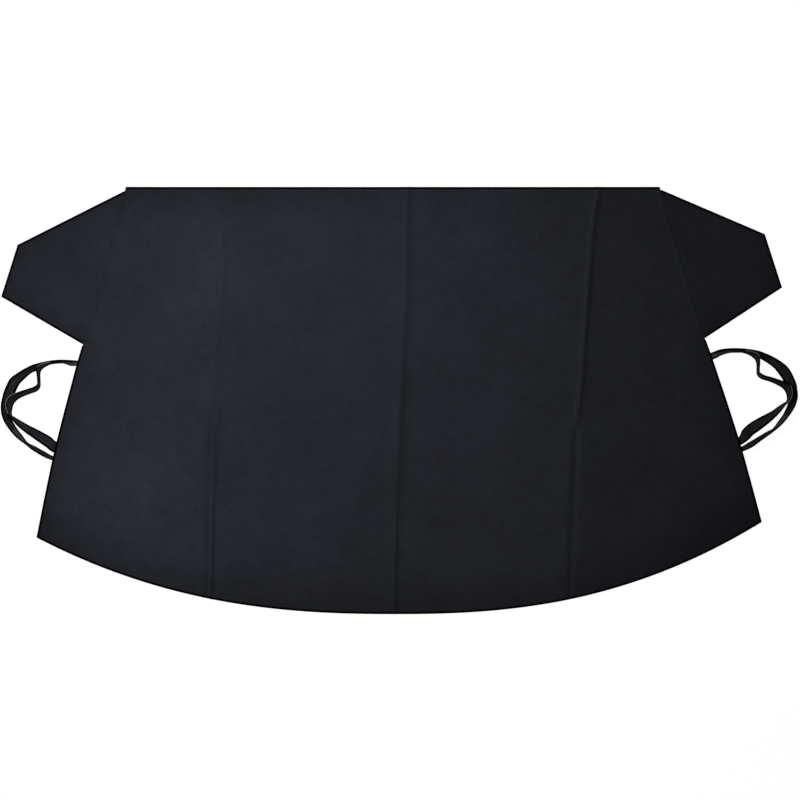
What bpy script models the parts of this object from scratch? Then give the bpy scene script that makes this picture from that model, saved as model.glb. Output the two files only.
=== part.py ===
"""Windshield frost cover: a cloth panel with two sewn-on wings, bound edges and elastic bands.

Metres, +Z up. The cover lies on the floor with its outer face up. +X runs to the right along
the cover, +Y towards the edge that lies along the roof, and the origin is on the floor below
the middle of the cloth's box.
"""

import math
from dataclasses import dataclass

import bmesh
import bpy
from mathutils import Vector

# Cloth, tape and elastic
CLOTH_THICKNESS = 0.0015
TAPE_THICKNESS = 0.0005
TAPE_LEG = 0.0042  # how far the folded tape reaches over the cloth on each face
TAPE_NOSE = 0.0002  # small bevel of the tape's fold
BAND_WIDTH = 0.025
BAND_THICKNESS = 0.0015
CLEARANCE = 0.0003  # between two pieces that touch

# Outline of the panel
ROOF_EDGE_Y = 0.469
HEM_LOW_X = 0.010
HEM_LOW_Y = -0.469
HEM_POWER = 2.45  # how squarely the hem bows between its corners and its lowest point

# Lay of the cloth on the floor
EDGE_FLAT = 0.007  # strip along a bound edge that lies on the tape
EDGE_REACH = 0.030  # where the cloth is down on the floor again
LAP_FLAT = 0.014  # strip along the side that lies on a wing's lap
BAND_FLAT = 0.030  # strip along the side that lies on the sewn band ends
BAND_REACH = 0.060
BAND_MARGIN = 0.003
BAND_RAMP = 0.024
CREASE_HALF_WIDTH = 0.011

# Seam between panel and wing
SEAM_LAP = 0.008
SEAM_CLEAR = 0.0012  # from the panel's side to the end of a wing's tape
ARMPIT_CLEAR = 0.005  # from the armpit down the side to the start of the hem's tape

# Fineness of the meshes
FILL_COLUMNS = 3
UPPER_ROWS = 3
MIDDLE_ROWS = 2
LOWER_ROWS = 3
WING_FILL = 2
STEPS_PER_STATION = 2


@dataclass
class Side:
    """Half of the outline, to the left or the right of the middle."""

    name: str
    sign: int
    roof_corner_x: float
    wing_drop: float  # from the roof edge down to the wing's own top edge
    shoulder: tuple
    wing_tip: tuple
    armpit: tuple
    hem_corner: tuple
    bulge: float  # how far the side bows out below the armpit


@dataclass
class Crease:
    """A packing fold that stands as a low ridge: its line from the roof edge to the hem."""

    line: tuple
    height_top: float
    height_low: float


@dataclass
class Station:
    """One place along a band: its lower edge, its raised edge, and how it lies there."""

    foot: tuple
    head: tuple
    rise: float = 0.0
    gather: float = 1.0


LEFT = Side(
    name="left",
    sign=-1,
    roof_corner_x=-0.5844,
    wing_drop=0.0086,
    shoulder=(-0.8218, 0.3420),
    wing_tip=(-0.8578, 0.2287),
    armpit=(-0.6788, 0.1242),
    hem_corner=(-0.7802, -0.3008),
    bulge=0.006,
)
RIGHT = Side(
    name="right",
    sign=1,
    roof_corner_x=0.5893,
    wing_drop=0.0055,
    shoulder=(0.8200, 0.3655),
    wing_tip=(0.8578, 0.2489),
    armpit=(0.6883, 0.1376),
    hem_corner=(0.8132, -0.2668),
    bulge=0.006,
)

CREASES = (
    Crease(
        line=((-0.373, 0.469), (-0.364, 0.310), (-0.373, 0.130), (-0.400, -0.090), (-0.406, -0.469)),
        height_top=0.0012,
        height_low=0.0024,
    ),
    Crease(
        line=((0.038, 0.469), (0.035, 0.280), (0.029, 0.155), (0.012, -0.219), (0.007, -0.469)),
        height_top=0.0024,
        height_low=0.0024,
    ),
    Crease(
        line=((0.452, 0.469), (0.436, 0.360), (0.410, 0.001), (0.401, -0.065), (0.392, -0.469)),
        height_top=0.0034,
        height_low=0.0034,
    ),
)

LEFT_OUTER_BAND = (
    Station((-0.6724, 0.0705), (-0.6691, 0.0826), gather=0.50),
    Station((-0.6947, 0.0760), (-0.6914, 0.0881), gather=0.50),
    Station((-0.7010, 0.0777), (-0.7003, 0.0885), gather=0.56),
    Station((-0.7076, 0.0793), (-0.7076, 0.0888), gather=0.80),
    Station((-0.7252, 0.0844), (-0.7252, 0.0890)),
    Station((-0.7494, 0.0822), (-0.7490, 0.0870)),
    Station((-0.7648, 0.0760), (-0.7670, 0.0835)),
    Station((-0.7794, 0.0668), (-0.7857, 0.0787)),
    Station((-0.7923, 0.0608), (-0.8011, 0.0716)),
    Station((-0.8069, 0.0483), (-0.8209, 0.0602)),
    Station((-0.8181, 0.0366), (-0.8374, 0.0487)),
    Station((-0.8242, 0.0250), (-0.8480, 0.0316)),
    Station((-0.8308, 0.0089), (-0.8555, 0.0100)),
    Station((-0.8366, -0.0087), (-0.8581, -0.0105)),
    Station((-0.8383, -0.0241), (-0.8564, -0.0274)),
    Station((-0.8352, -0.0406), (-0.8500, -0.0454)),
    Station((-0.8229, -0.0635), (-0.8326, -0.0701)),
    Station((-0.8117, -0.0780), (-0.8190, -0.0837)),
    Station((-0.7998, -0.0932), (-0.8020, -0.0960)),
    Station((-0.7842, -0.1009), (-0.7882, -0.1075)),
    Station((-0.7648, -0.1117), (-0.7688, -0.1196)),
    Station((-0.7452, -0.1216), (-0.7478, -0.1313), gather=0.40),
    Station((-0.7259, -0.1257), (-0.7288, -0.1354), gather=0.40),
)
LEFT_INNER_BAND = (
    Station((-0.6724, 0.0705), (-0.6691, 0.0826), 0.0018, 0.50),
    Station((-0.6947, 0.0760), (-0.6914, 0.0881), 0.0024, 0.50),
    Station((-0.7010, 0.0760), (-0.7003, 0.0868), 0.0022, 0.56),
    Station((-0.7076, 0.0770), (-0.7076, 0.0865), 0.0013, 0.80),
    Station((-0.7252, 0.0822), (-0.7252, 0.0868), 0.0004),
    Station((-0.7494, 0.0798), (-0.7490, 0.0846), 0.0004),
    Station((-0.7587, 0.0758), (-0.7604, 0.0820), 0.0003),
    Station((-0.7670, 0.0703), (-0.7723, 0.0776), 0.0003),
    Station((-0.7717, 0.0646), (-0.7796, 0.0690), 0.0003),
    Station((-0.7732, 0.0551), (-0.7774, 0.0578)),
    Station((-0.7725, 0.0358), (-0.7758, 0.0375)),
    Station((-0.7739, 0.0278), (-0.7794, 0.0329)),
    Station((-0.7802, 0.0208), (-0.7851, 0.0296)),
    Station((-0.7945, 0.0153), (-0.7983, 0.0252)),
    Station((-0.8132, 0.0078), (-0.8185, 0.0186)),
    Station((-0.8242, 0.0008), (-0.8344, 0.0118)),
    Station((-0.8311, -0.0076), (-0.8443, 0.0021), 0.0006),
    Station((-0.8341, -0.0177), (-0.8467, -0.0111), 0.0012),
    Station((-0.8355, -0.0265), (-0.8427, -0.0237), 0.0020),
    Station((-0.8344, -0.0331), (-0.8366, -0.0347), 0.0020),
    Station((-0.8278, -0.0375), (-0.8313, -0.0410), 0.0010),
    Station((-0.8165, -0.0441), (-0.8229, -0.0525)),
    Station((-0.8003, -0.0534), (-0.8093, -0.0652)),
    Station((-0.7809, -0.0630), (-0.7912, -0.0791)),
    Station((-0.7615, -0.0732), (-0.7732, -0.0925)),
    Station((-0.7486, -0.0809), (-0.7607, -0.1015)),
    Station((-0.7378, -0.0902), (-0.7440, -0.1144), gather=0.98),
    Station((-0.7177, -0.0945), (-0.7250, -0.1185), gather=0.98),
)
RIGHT_OUTER_BAND = (
    Station((0.6889, 0.0844), (0.6845, 0.0995), gather=0.62),
    Station((0.7071, 0.0902), (0.7023, 0.1052), gather=0.62),
    Station((0.7150, 0.0960), (0.7118, 0.1090), gather=0.67),
    Station((0.7230, 0.1011), (0.7213, 0.1121), gather=0.85),
    Station((0.7477, 0.1077), (0.7466, 0.1145)),
    Station((0.7686, 0.1081), (0.7690, 0.1139)),
    Station((0.7851, 0.1051), (0.7868, 0.1119)),
    Station((0.8005, 0.0982), (0.8049, 0.1086)),
    Station((0.8121, 0.0916), (0.8192, 0.1035)),
    Station((0.8247, 0.0839), (0.8324, 0.0980)),
    Station((0.8390, 0.0734), (0.8528, 0.0866)),
    Station((0.8509, 0.0593), (0.8711, 0.0734)),
    Station((0.8599, 0.0457), (0.8830, 0.0531)),
    Station((0.8676, 0.0298), (0.8900, 0.0320)),
    Station((0.8729, 0.0122), (0.8911, 0.0113)),
    Station((0.8724, -0.0032), (0.8872, -0.0063)),
    Station((0.8674, -0.0181), (0.8786, -0.0228)),
    Station((0.8608, -0.0314), (0.8687, -0.0366)),
    Station((0.8500, -0.0463), (0.8559, -0.0516)),
    Station((0.8381, -0.0622), (0.8407, -0.0648)),
    Station((0.8240, -0.0694), (0.8273, -0.0751)),
    Station((0.8060, -0.0802), (0.8104, -0.0872)),
    Station((0.7879, -0.0908), (0.7928, -0.1004)),
    Station((0.7697, -0.1010), (0.7732, -0.1121), gather=0.46),
    Station((0.7505, -0.1070), (0.7536, -0.1183), gather=0.46),
)
RIGHT_INNER_BAND = (
    Station((0.6889, 0.0844), (0.6845, 0.0995), 0.0018, 0.62),
    Station((0.7071, 0.0902), (0.7023, 0.1052), 0.0024, 0.62),
    Station((0.7154, 0.0943), (0.7122, 0.1073), 0.0022, 0.67),
    Station((0.7233, 0.0989), (0.7216, 0.1099), 0.0014, 0.85),
    Station((0.7477, 0.1055), (0.7468, 0.1123), 0.0004),
    Station((0.7675, 0.1057), (0.7684, 0.1114), 0.0004),
    Station((0.7809, 0.1024), (0.7831, 0.1088), 0.0003),
    Station((0.7919, 0.0967), (0.7985, 0.1051), 0.0003),
    Station((0.7992, 0.0901), (0.8073, 0.0949), 0.0003),
    Station((0.8024, 0.0822), (0.8073, 0.0844)),
    Station((0.8031, 0.0707), (0.8062, 0.0712)),
    Station((0.8029, 0.0615), (0.8060, 0.0637)),
    Station((0.8058, 0.0536), (0.8102, 0.0591)),
    Station((0.8139, 0.0474), (0.8179, 0.0551)),
    Station((0.8317, 0.0417), (0.8352, 0.0503)),
    Station((0.8480, 0.0344), (0.8542, 0.0439)),
    Station((0.8583, 0.0283), (0.8671, 0.0388)),
    Station((0.8654, 0.0201), (0.8768, 0.0298), 0.0006),
    Station((0.8689, 0.0109), (0.8786, 0.0175), 0.0012),
    Station((0.8696, 0.0039), (0.8757, 0.0065), 0.0020),
    Station((0.8676, -0.0019), (0.8696, -0.0039), 0.0020),
    Station((0.8614, -0.0061), (0.8636, -0.0098), 0.0010),
    Station((0.8535, -0.0109), (0.8566, -0.0195)),
    Station((0.8370, -0.0228), (0.8438, -0.0340)),
    Station((0.8139, -0.0347), (0.8266, -0.0507)),
    Station((0.7952, -0.0448), (0.8108, -0.0648)),
    Station((0.7796, -0.0560), (0.7954, -0.0758)),
    Station((0.7699, -0.0670), (0.7831, -0.0877)),
    Station((0.7640, -0.0798), (0.7690, -0.0974), gather=0.72),
    Station((0.7472, -0.0850), (0.7523, -0.1026), gather=0.72),
)
BANDS = {
    "left_outer_band": LEFT_OUTER_BAND,
    "left_inner_band": LEFT_INNER_BAND,
    "right_outer_band": RIGHT_OUTER_BAND,
    "right_inner_band": RIGHT_INNER_BAND,
}

# Heights of the cloth's underside, worked out from what lies below it
TAPE_LIFT = TAPE_THICKNESS + CLEARANCE
LAP_LIFT = TAPE_LIFT + CLOTH_THICKNESS + CLEARANCE
BAND_LIFT = BAND_THICKNESS + 2.0 * CLEARANCE

CLOTH_COLOUR = (0.021, 0.022, 0.026, 1.0)
TAPE_COLOUR = (0.004, 0.004, 0.005, 1.0)
BAND_COLOUR = (0.012, 0.012, 0.013, 1.0)


def clear_scene():
    """Remove every object that is in the scene."""
    for item in list(bpy.data.objects):
        bpy.data.objects.remove(item)


def mix(a, b, t):
    """The value a share t of the way from a to b."""
    return a + (b - a) * t


def smooth(t):
    """An eased step from 0 to 1."""
    t = min(1.0, max(0.0, t))
    return t * t * (3.0 - 2.0 * t)


def spread_between(a, b, count):
    """Evenly spaced values between a and b, without the ends."""
    return [mix(a, b, i / (count + 1)) for i in range(1, count + 1)]


def crease_x(crease, y):
    """Where the crest of a crease is at height y of the cover."""
    line = crease.line
    for (x_high, y_high), (x_low, y_low) in zip(line, line[1:]):
        if y >= y_low:
            return mix(x_high, x_low, (y_high - y) / (y_high - y_low))
    return line[-1][0]


def crease_height(x, y):
    """How far the creases raise the cloth at a point."""
    height = 0.0
    for crease in CREASES:
        share = (ROOF_EDGE_Y - y) / (ROOF_EDGE_Y - HEM_LOW_Y)
        crest = mix(crease.height_top, crease.height_low, share)
        height += crest * max(0.0, 1.0 - abs(x - crease_x(crease, y)) / CREASE_HALF_WIDTH)
    return height


def side_x(side, y):
    """The panel's side edge at height y: a straight seam, then a slightly bowed side."""
    armpit_x, armpit_y = side.armpit
    corner_x, corner_y = side.hem_corner
    if y >= armpit_y:
        return mix(side.roof_corner_x, armpit_x, (ROOF_EDGE_Y - y) / (ROOF_EDGE_Y - armpit_y))
    share = (armpit_y - y) / (armpit_y - corner_y)
    return mix(armpit_x, corner_x, share) + side.sign * side.bulge * math.sin(math.pi * share)


def hem_y(x):
    """The bowed lower edge of the panel at x."""
    corner_x, corner_y = LEFT.hem_corner if x < HEM_LOW_X else RIGHT.hem_corner
    share = abs((x - HEM_LOW_X) / (corner_x - HEM_LOW_X))
    return HEM_LOW_Y + (corner_y - HEM_LOW_Y) * share**HEM_POWER


def band_spans(side):
    """The stretches of a side under which band ends are sewn: top, bottom and layers."""
    bands = [stations for name, stations in BANDS.items() if name.startswith(side.name)]
    spans = []
    for end, layers in ((0, len(bands)), (-1, 1)):
        ys = [point[1] for stations in bands for point in (stations[end].foot, stations[end].head)]
        second = 1 if end == 0 else -2
        ys += [point[1] for stations in bands for point in (stations[second].foot, stations[second].head)]
        spans.append((max(ys) + BAND_MARGIN, min(ys) - BAND_MARGIN, layers))
    return spans


def side_rows(side):
    """Heights of the panel's mesh rows at one side, from the roof edge to the hem corner."""
    armpit_y = side.armpit[1]
    corner_y = side.hem_corner[1]
    (high_top, high_low, _), (low_top, low_low, _) = band_spans(side)
    rows = [ROOF_EDGE_Y, ROOF_EDGE_Y - EDGE_FLAT, ROOF_EDGE_Y - EDGE_REACH]
    rows += spread_between(rows[-1], armpit_y, UPPER_ROWS)
    rows += [armpit_y, armpit_y - ARMPIT_CLEAR, high_top, high_low, high_low - BAND_RAMP]
    rows += spread_between(rows[-1], low_top + BAND_RAMP, MIDDLE_ROWS)
    rows += [low_top + BAND_RAMP, low_top, low_low, low_low - BAND_RAMP]
    rows += spread_between(rows[-1], corner_y + EDGE_REACH, LOWER_ROWS)
    return rows + [corner_y + EDGE_REACH, corner_y + EDGE_FLAT, corner_y]


def seam_rows():
    """How many rows at the top of the panel lie on a wing's lap."""
    return 3 + UPPER_ROWS + 2


def band_weight(side, y):
    """How many layers of band lift the panel's side at height y."""
    lift = 0.0
    for top, low, layers in band_spans(side):
        away = max(0.0, y - top, low - y)
        lift = max(lift, layers * (1.0 - smooth(away / BAND_RAMP)))
    return lift


class PanelGrid:
    """The rows and columns of the main panel's mesh and the place of each crossing."""

    def __init__(self):
        """Work out the rows at both sides and the columns between them."""
        self.left_rows = side_rows(LEFT)
        self.right_rows = side_rows(RIGHT)
        self.rows = len(self.left_rows)
        self.seams = seam_rows()
        self.insets = (0.0, LAP_FLAT, BAND_FLAT, BAND_REACH)
        self.hem_xs = self.column_xs(self.left_rows[-1], self.right_rows[-1])
        self.columns = len(self.hem_xs)

    def column_xs(self, y_left, y_right):
        """The x of every column along a row that runs between two side heights."""
        left = [side_x(LEFT, y_left) + inset for inset in self.insets]
        right = [side_x(RIGHT, y_right) - inset for inset in reversed(self.insets)]
        xs = left
        for crease in CREASES:
            share = (crease.line[0][0] - LEFT.roof_corner_x) / (RIGHT.roof_corner_x - LEFT.roof_corner_x)
            crest = crease_x(crease, mix(y_left, y_right, share))
            foot = crest - CREASE_HALF_WIDTH
            xs = xs + spread_between(xs[-1], foot, FILL_COLUMNS) + [foot, crest, crest + CREASE_HALF_WIDTH]
        return xs + spread_between(xs[-1], right[0], FILL_COLUMNS) + right

    def flat_point(self, column, row):
        """The plan position of a crossing."""
        across = column / (self.columns - 1)
        both = (self.left_rows, self.right_rows)
        drops = [(ROOF_EDGE_Y - rows[row]) / (ROOF_EDGE_Y - rows[-1]) for rows in both]
        y = mix(ROOF_EDGE_Y, hem_y(self.hem_xs[column]), mix(*drops, across))
        x = self.column_xs(self.left_rows[row], self.right_rows[row])[column]
        return self.follow_crease(column, x, y), y

    def follow_crease(self, column, x, y):
        """Keep a crease's own columns on its line where a row bows down to the hem."""
        first = len(self.insets) + FILL_COLUMNS
        index, place = divmod(column - first, FILL_COLUMNS + 3)
        if place in (0, 1, 2) and 0 <= index < len(CREASES):
            return crease_x(CREASES[index], y) + (place - 1) * CREASE_HALF_WIDTH
        return x

    def lift(self, column, row):
        """How far the tape, a wing's lap or the band ends raise the cloth at a crossing."""
        from_side = min(column, self.columns - 1 - column)
        from_end = min(row, self.rows - 1 - row)
        lift = TAPE_LIFT if from_side < 2 or from_end < 2 else 0.0
        if row < self.seams and from_side < 2:
            lift = LAP_LIFT
        if from_side < 3 and row >= self.seams:
            side, rows = (LEFT, self.left_rows) if column < self.columns / 2 else (RIGHT, self.right_rows)
            layers = band_weight(side, rows[row])
            lift = max(lift, (TAPE_LIFT if layers else 0.0) + layers * BAND_LIFT)
        return lift

    def point(self, column, row):
        """A crossing on the cloth's underside."""
        x, y = self.flat_point(column, row)
        return Vector((x, y, self.lift(column, row) + crease_height(x, y)))


def inward_normal(side):
    """The level direction from a seam edge into the panel."""
    along = Vector((side.armpit[0] - side.roof_corner_x, side.armpit[1] - ROOF_EDGE_Y)).normalized()
    return Vector((along.y, -along.x)) * side.sign


def seam_start(side):
    """Where the wing's own top edge meets the panel's side."""
    y = ROOF_EDGE_Y - side.wing_drop
    return Vector((side_x(side, y), y))


def away_from_seam(start, end, side):
    """A point on the line from start to end, just clear of the panel's side."""
    direction = (end - start).normalized()
    return start - direction * (SEAM_CLEAR / direction.dot(inward_normal(side)))


def raised_edge_shares(length):
    """Shares along a length with mesh lines where the cloth comes down from its raised edges."""
    marks = [0.0, EDGE_FLAT, EDGE_REACH]
    marks += spread_between(EDGE_REACH, length - EDGE_REACH, WING_FILL)
    marks += [length - EDGE_REACH, length - EDGE_FLAT, length]
    return [mark / length for mark in marks]


def collection(name):
    """A new collection in the scene."""
    made = bpy.data.collections.new(name)
    bpy.context.scene.collection.children.link(made)
    return made


def material(name, colour, roughness):
    """A plain cloth material for one piece."""
    made = bpy.data.materials.new(name)
    made.use_nodes = True
    shader = made.node_tree.nodes["Principled BSDF"]
    shader.inputs["Base Color"].default_value = colour
    shader.inputs["Roughness"].default_value = roughness
    shader.inputs["Metallic"].default_value = 0.0
    return made


def laid_sheet(name, columns, rows, place, thickness, offset, finish, home):
    """A grid whose crossings are put in place one by one, then given the sheet's thickness."""
    shape = bmesh.new()
    bmesh.ops.create_grid(shape, x_segments=columns - 1, y_segments=rows - 1, size=1.0)
    for vert in shape.verts:
        column = round((vert.co.x + 1.0) / 2.0 * (columns - 1))
        row = round((1.0 - vert.co.y) / 2.0 * (rows - 1))
        vert.co = place(column, row)
    mesh = bpy.data.meshes.new(name)
    shape.to_mesh(mesh)
    shape.free()
    sheet = bpy.data.objects.new(name, mesh)
    home.objects.link(sheet)
    mesh.materials.append(finish)
    wall = sheet.modifiers.new("thickness", "SOLIDIFY")
    wall.thickness = thickness
    wall.offset = offset
    wall.use_even_offset = True
    return sheet


def make_panel(grid, home):
    """The main panel, with its creases and its raised edges."""
    finish = material("panel_cloth", CLOTH_COLOUR, 0.85)
    return laid_sheet("main_panel", grid.columns, grid.rows, grid.point, CLOTH_THICKNESS, 1.0, finish, home)


def make_wing(side, home):
    """One wing, lapped under the panel's side and flat on the floor in its middle."""
    start, armpit = seam_start(side), Vector(side.armpit)
    shoulder, tip = Vector(side.shoulder), Vector(side.wing_tip)
    lap = inward_normal(side) * SEAM_LAP
    across = raised_edge_shares((shoulder - start).length)
    down = raised_edge_shares((armpit - start).length)
    columns = len(across) + 1

    def place(column, row):
        """A crossing of the wing's mesh, with its columns counted from left to right."""
        from_inner = column if side.sign > 0 else columns - 1 - column
        share = across[max(0, from_inner - 1)]
        spot = start.lerp(shoulder, share).lerp(armpit.lerp(tip, share), down[row])
        if from_inner == 0:
            spot = spot + lap
        raised = from_inner < 3 or min(columns - 1 - from_inner, row, len(down) - 1 - row) < 2
        return Vector((spot.x, spot.y, TAPE_LIFT if raised else 0.0))

    finish = material(side.name + "_wing_cloth", CLOTH_COLOUR, 0.85)
    return laid_sheet(side.name + "_wing", columns, len(down), place, CLOTH_THICKNESS, 1.0, finish, home)


def mitre(points, index):
    """The level vector that shifts a corner so that both its edges shift by one."""
    here = points[index]
    normals = []
    for other in (index - 1, index + 1):
        if 0 <= other < len(points):
            along = (here - points[other]) if other < index else (points[other] - here)
            flat = Vector((along.x, along.y)).normalized()
            normals.append(Vector((-flat.y, flat.x)))
    if len(normals) == 1:
        return normals[0]
    return (normals[0] + normals[1]) / (1.0 + normals[0].dot(normals[1]))


def folded_tape(name, edge, guides, home):
    """A tape folded over a cloth edge; the cloth lies to the left of the edge's points.

    Each guide is a point further in on the cloth that the tape's section runs towards, or
    None where the tape is mitred.
    """
    off = CLEARANCE + TAPE_THICKNESS / 2.0
    top = CLOTH_THICKNESS + off
    section = (
        (TAPE_LEG, -off),
        (-off + TAPE_NOSE, -off),
        (-off, -off + TAPE_NOSE),
        (-off, top - TAPE_NOSE),
        (-off + TAPE_NOSE, top),
        (TAPE_LEG, top),
    )

    def place(column, row):
        """A crossing of the tape's middle surface: along the edge, then round its section."""
        inset, height = section[row]
        outward = mitre(edge, column)
        inward = Vector((outward.x, outward.y, 0.0))
        if guides[column] is not None:
            inward = guides[column] - edge[column]
            inward /= inward.xy.dot(outward)
        return edge[column] + inward * inset + Vector((0.0, 0.0, height))

    finish = material(name + "_cloth", TAPE_COLOUR, 0.8)
    return laid_sheet(name, len(edge), len(section), place, TAPE_THICKNESS, 0.0, finish, home)


def make_panel_tapes(grid, home):
    """The tape along the roof edge, and the one down a side, round the hem and up again."""
    last_column, last_row = grid.columns - 1, grid.rows - 1
    columns = range(last_column, -1, -1)
    roof = [grid.point(column, 0) for column in columns]
    folded_tape("roof_edge_tape", roof, [grid.point(column, 1) for column in columns], home)

    going_down = [(0, row, 1, row) for row in range(grid.seams - 1, last_row)]
    along_hem = [(column, last_row, column, last_row - 1) for column in range(1, last_column)]
    going_up = [(last_column, row, last_column - 1, row) for row in range(last_row - 1, grid.seams - 2, -1)]
    left_corner, right_corner = (0, last_row), (last_column, last_row)
    route = going_down + [left_corner] + along_hem + [right_corner] + going_up
    hem = [grid.point(*stop[:2]) for stop in route]
    guides = [grid.point(*stop[2:]) if len(stop) == 4 else None for stop in route]
    folded_tape("hem_tape", hem, guides, home)


def make_wing_tape(side, home):
    """The tape round a wing's three free edges, its ends cut in line with the panel's side."""
    shoulder, tip = Vector(side.shoulder), Vector(side.wing_tip)
    start = away_from_seam(seam_start(side), shoulder, side)
    end = away_from_seam(Vector(side.armpit), tip, side)
    edge = [Vector((p.x, p.y, TAPE_LIFT)) for p in (start, shoulder, tip, end)]
    seam = Vector((side.armpit[0] - side.roof_corner_x, side.armpit[1] - ROOF_EDGE_Y, 0.0))
    guides = [edge[0] + seam, None, None, edge[-1] - seam]
    if side.sign > 0:
        edge.reverse()
        guides.reverse()
    folded_tape(side.name + "_wing_tape", edge, guides, home)


def eased_slope(before, here, after):
    """A slope at the middle value that makes no overshoot on either side of it."""
    first, second = here - before, after - here
    if first * second <= 0.0:
        return 0.0
    return 2.0 * first * second / (first + second)


def smooth_values(values, steps):
    """A smooth run through a list of values, with extra steps between them."""
    ends = [values[0]] + list(values) + [values[-1]]
    slopes = [eased_slope(*ends[i : i + 3]) for i in range(len(values))]
    run = []
    for i in range(len(values) - 1):
        for step in range(steps):
            t = step / steps
            t2, t3 = t * t, t * t * t
            run.append(
                (2 * t3 - 3 * t2 + 1) * values[i]
                + (t3 - 2 * t2 + t) * slopes[i]
                + (3 * t2 - 2 * t3) * values[i + 1]
                + (t3 - t2) * slopes[i + 1]
            )
    return run + [values[-1]]


def band_edges(stations):
    """The lower and the raised edge of a band's middle surface, as two smooth runs."""
    rows = []
    for station in stations:
        run = math.dist(station.foot, station.head)
        stand = math.sqrt(max(0.0, (BAND_WIDTH * station.gather) ** 2 - run**2))
        base = station.rise + BAND_THICKNESS / 2.0
        rows.append((*station.foot, base, *station.head, base + stand))
    runs = [smooth_values(values, STEPS_PER_STATION) for values in zip(*rows)]
    foot = [Vector(point) for point in zip(*runs[:3])]
    head = [Vector(point) for point in zip(*runs[3:])]
    return foot, head


def make_band(name, stations, home):
    """A flat elastic band, standing on its lower edge where it isn't lying flat."""
    edges = band_edges(stations)
    finish = material(name + "_webbing", BAND_COLOUR, 0.7)

    def place(column, row):
        """A point on the raised edge or on the lower one."""
        return edges[1 - row][column]

    return laid_sheet(name, len(edges[0]), 2, place, BAND_THICKNESS, 0.0, finish, home)


def main():
    """Build the cover."""
    clear_scene()
    home = collection("windshield_frost_cover")
    grid = PanelGrid()
    make_panel(grid, home)
    make_panel_tapes(grid, home)
    for side in (LEFT, RIGHT):
        make_wing(side, home)
        make_wing_tape(side, home)
    for name, stations in BANDS.items():
        make_band(name, stations, home)


main()
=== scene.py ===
"""Windshield frost cover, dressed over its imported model.

The cover lies on a pale floor with its outer face up, seen from straight above. Metres, +Z up.
Every piece is a fine mesh in the place that its solid holds: a cloth panel with two sewn-on
wings, folded edge tapes, rows of stitches and four flat elastic bands.
"""

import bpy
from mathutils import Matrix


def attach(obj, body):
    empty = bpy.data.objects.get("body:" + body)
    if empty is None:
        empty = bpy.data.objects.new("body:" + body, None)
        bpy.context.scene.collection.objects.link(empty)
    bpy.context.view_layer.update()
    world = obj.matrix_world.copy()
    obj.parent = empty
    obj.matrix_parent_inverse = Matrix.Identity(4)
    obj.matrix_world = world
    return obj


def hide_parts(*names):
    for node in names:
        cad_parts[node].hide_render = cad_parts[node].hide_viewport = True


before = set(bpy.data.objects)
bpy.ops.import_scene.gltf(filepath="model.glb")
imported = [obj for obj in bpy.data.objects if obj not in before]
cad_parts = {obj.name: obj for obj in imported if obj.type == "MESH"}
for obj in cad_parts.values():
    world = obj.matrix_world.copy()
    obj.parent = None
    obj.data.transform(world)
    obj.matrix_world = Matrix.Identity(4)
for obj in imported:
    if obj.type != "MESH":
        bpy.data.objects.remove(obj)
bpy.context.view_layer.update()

import logging
import math
from collections.abc import Callable, Sequence
from dataclasses import dataclass, field
from enum import Enum

import bmesh
import bpy
from mathutils import Matrix, Vector

log = logging.getLogger("frost_cover")

BODY = "root"
# Vertex layer of painted light and shade that multiplies the cloth's colour.
PAINTED_LIGHT_LAYER = "tone"
SURFACE_MAP = "surface"
PRESS_GROUP = "press"
WHITE = (1.0, 1.0, 1.0, 1.0)

CLOTH_THICKNESS = 0.0015
TAPE_THICKNESS = 0.0005
BAND_THICKNESS = 0.0015
BAND_WIDTH = 0.025
CLEARANCE = 0.0003
TAPE_LIFT = TAPE_THICKNESS + CLEARANCE
LAP_LIFT = TAPE_LIFT + CLOTH_THICKNESS + CLEARANCE
BAND_LIFT = BAND_THICKNESS + 2.0 * CLEARANCE

Colour = tuple[float, float, float]
Plan = tuple[float, float]
Span = tuple[float, float]
Place = Callable[[int, int], Vector]
Measure = Callable[[int, int], float]


class Hand(Enum):
    """The side of the cover that a piece belongs to."""

    LEFT = -1
    RIGHT = 1


class Slot(Enum):
    """The material slots of the record."""

    CLOTH = "cover_cloth"
    TAPE = "edge_tape"
    ELASTIC = "elastic"


def mix(a: float, b: float, t: float) -> float:
    """Return the value a share t of the way from a to b."""
    return a + (b - a) * t


def ease(t: float) -> float:
    """Return an eased step from 0 to 1."""
    t = min(1.0, max(0.0, t))
    return t * t * (3.0 - 2.0 * t)


def between(start: float, end: float, step: float) -> list[float]:
    """List even marks between two values, without the ends.

    Args:
        start: The first value.
        end: The last value.
        step: The greatest distance between two marks.

    Returns:
        The marks, none of them at start or end.
    """
    count = max(1, math.ceil(abs(end - start) / step))
    return [mix(start, end, i / count) for i in range(1, count)]


def spaced(length: float, step: float, edge: Sequence[float]) -> list[float]:
    """List marks along a length: given ones near both ends and even ones between.

    Args:
        length: The whole length.
        step: The greatest distance between two even marks.
        edge: Distances from either end that take a mark, in rising order from 0.

    Returns:
        All the marks from 0 to length.
    """
    middle = between(edge[-1], length - edge[-1], step)
    return list(edge) + middle + [length - mark for mark in reversed(edge)]


def at_height(rows: Sequence[Sequence[float]], y: float) -> list[float]:
    """Read a table of rows, each with its height first, at one height.

    Args:
        rows: The rows, the highest first.
        y: The height.

    Returns:
        The eased row.
    """
    for high, low in zip(rows, rows[1:]):
        if y >= low[0]:
            t = ease((high[0] - y) / (high[0] - low[0]))
            return [mix(a, b, t) for a, b in zip(high, low)]
    return list(rows[-1])


def run_lengths(points: Sequence[Vector]) -> list[float]:
    """Return how far along a line each of its points lies."""
    lengths = [0.0]
    for before, after in zip(points, points[1:]):
        lengths.append(lengths[-1] + (after - before).length)
    return lengths


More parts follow.
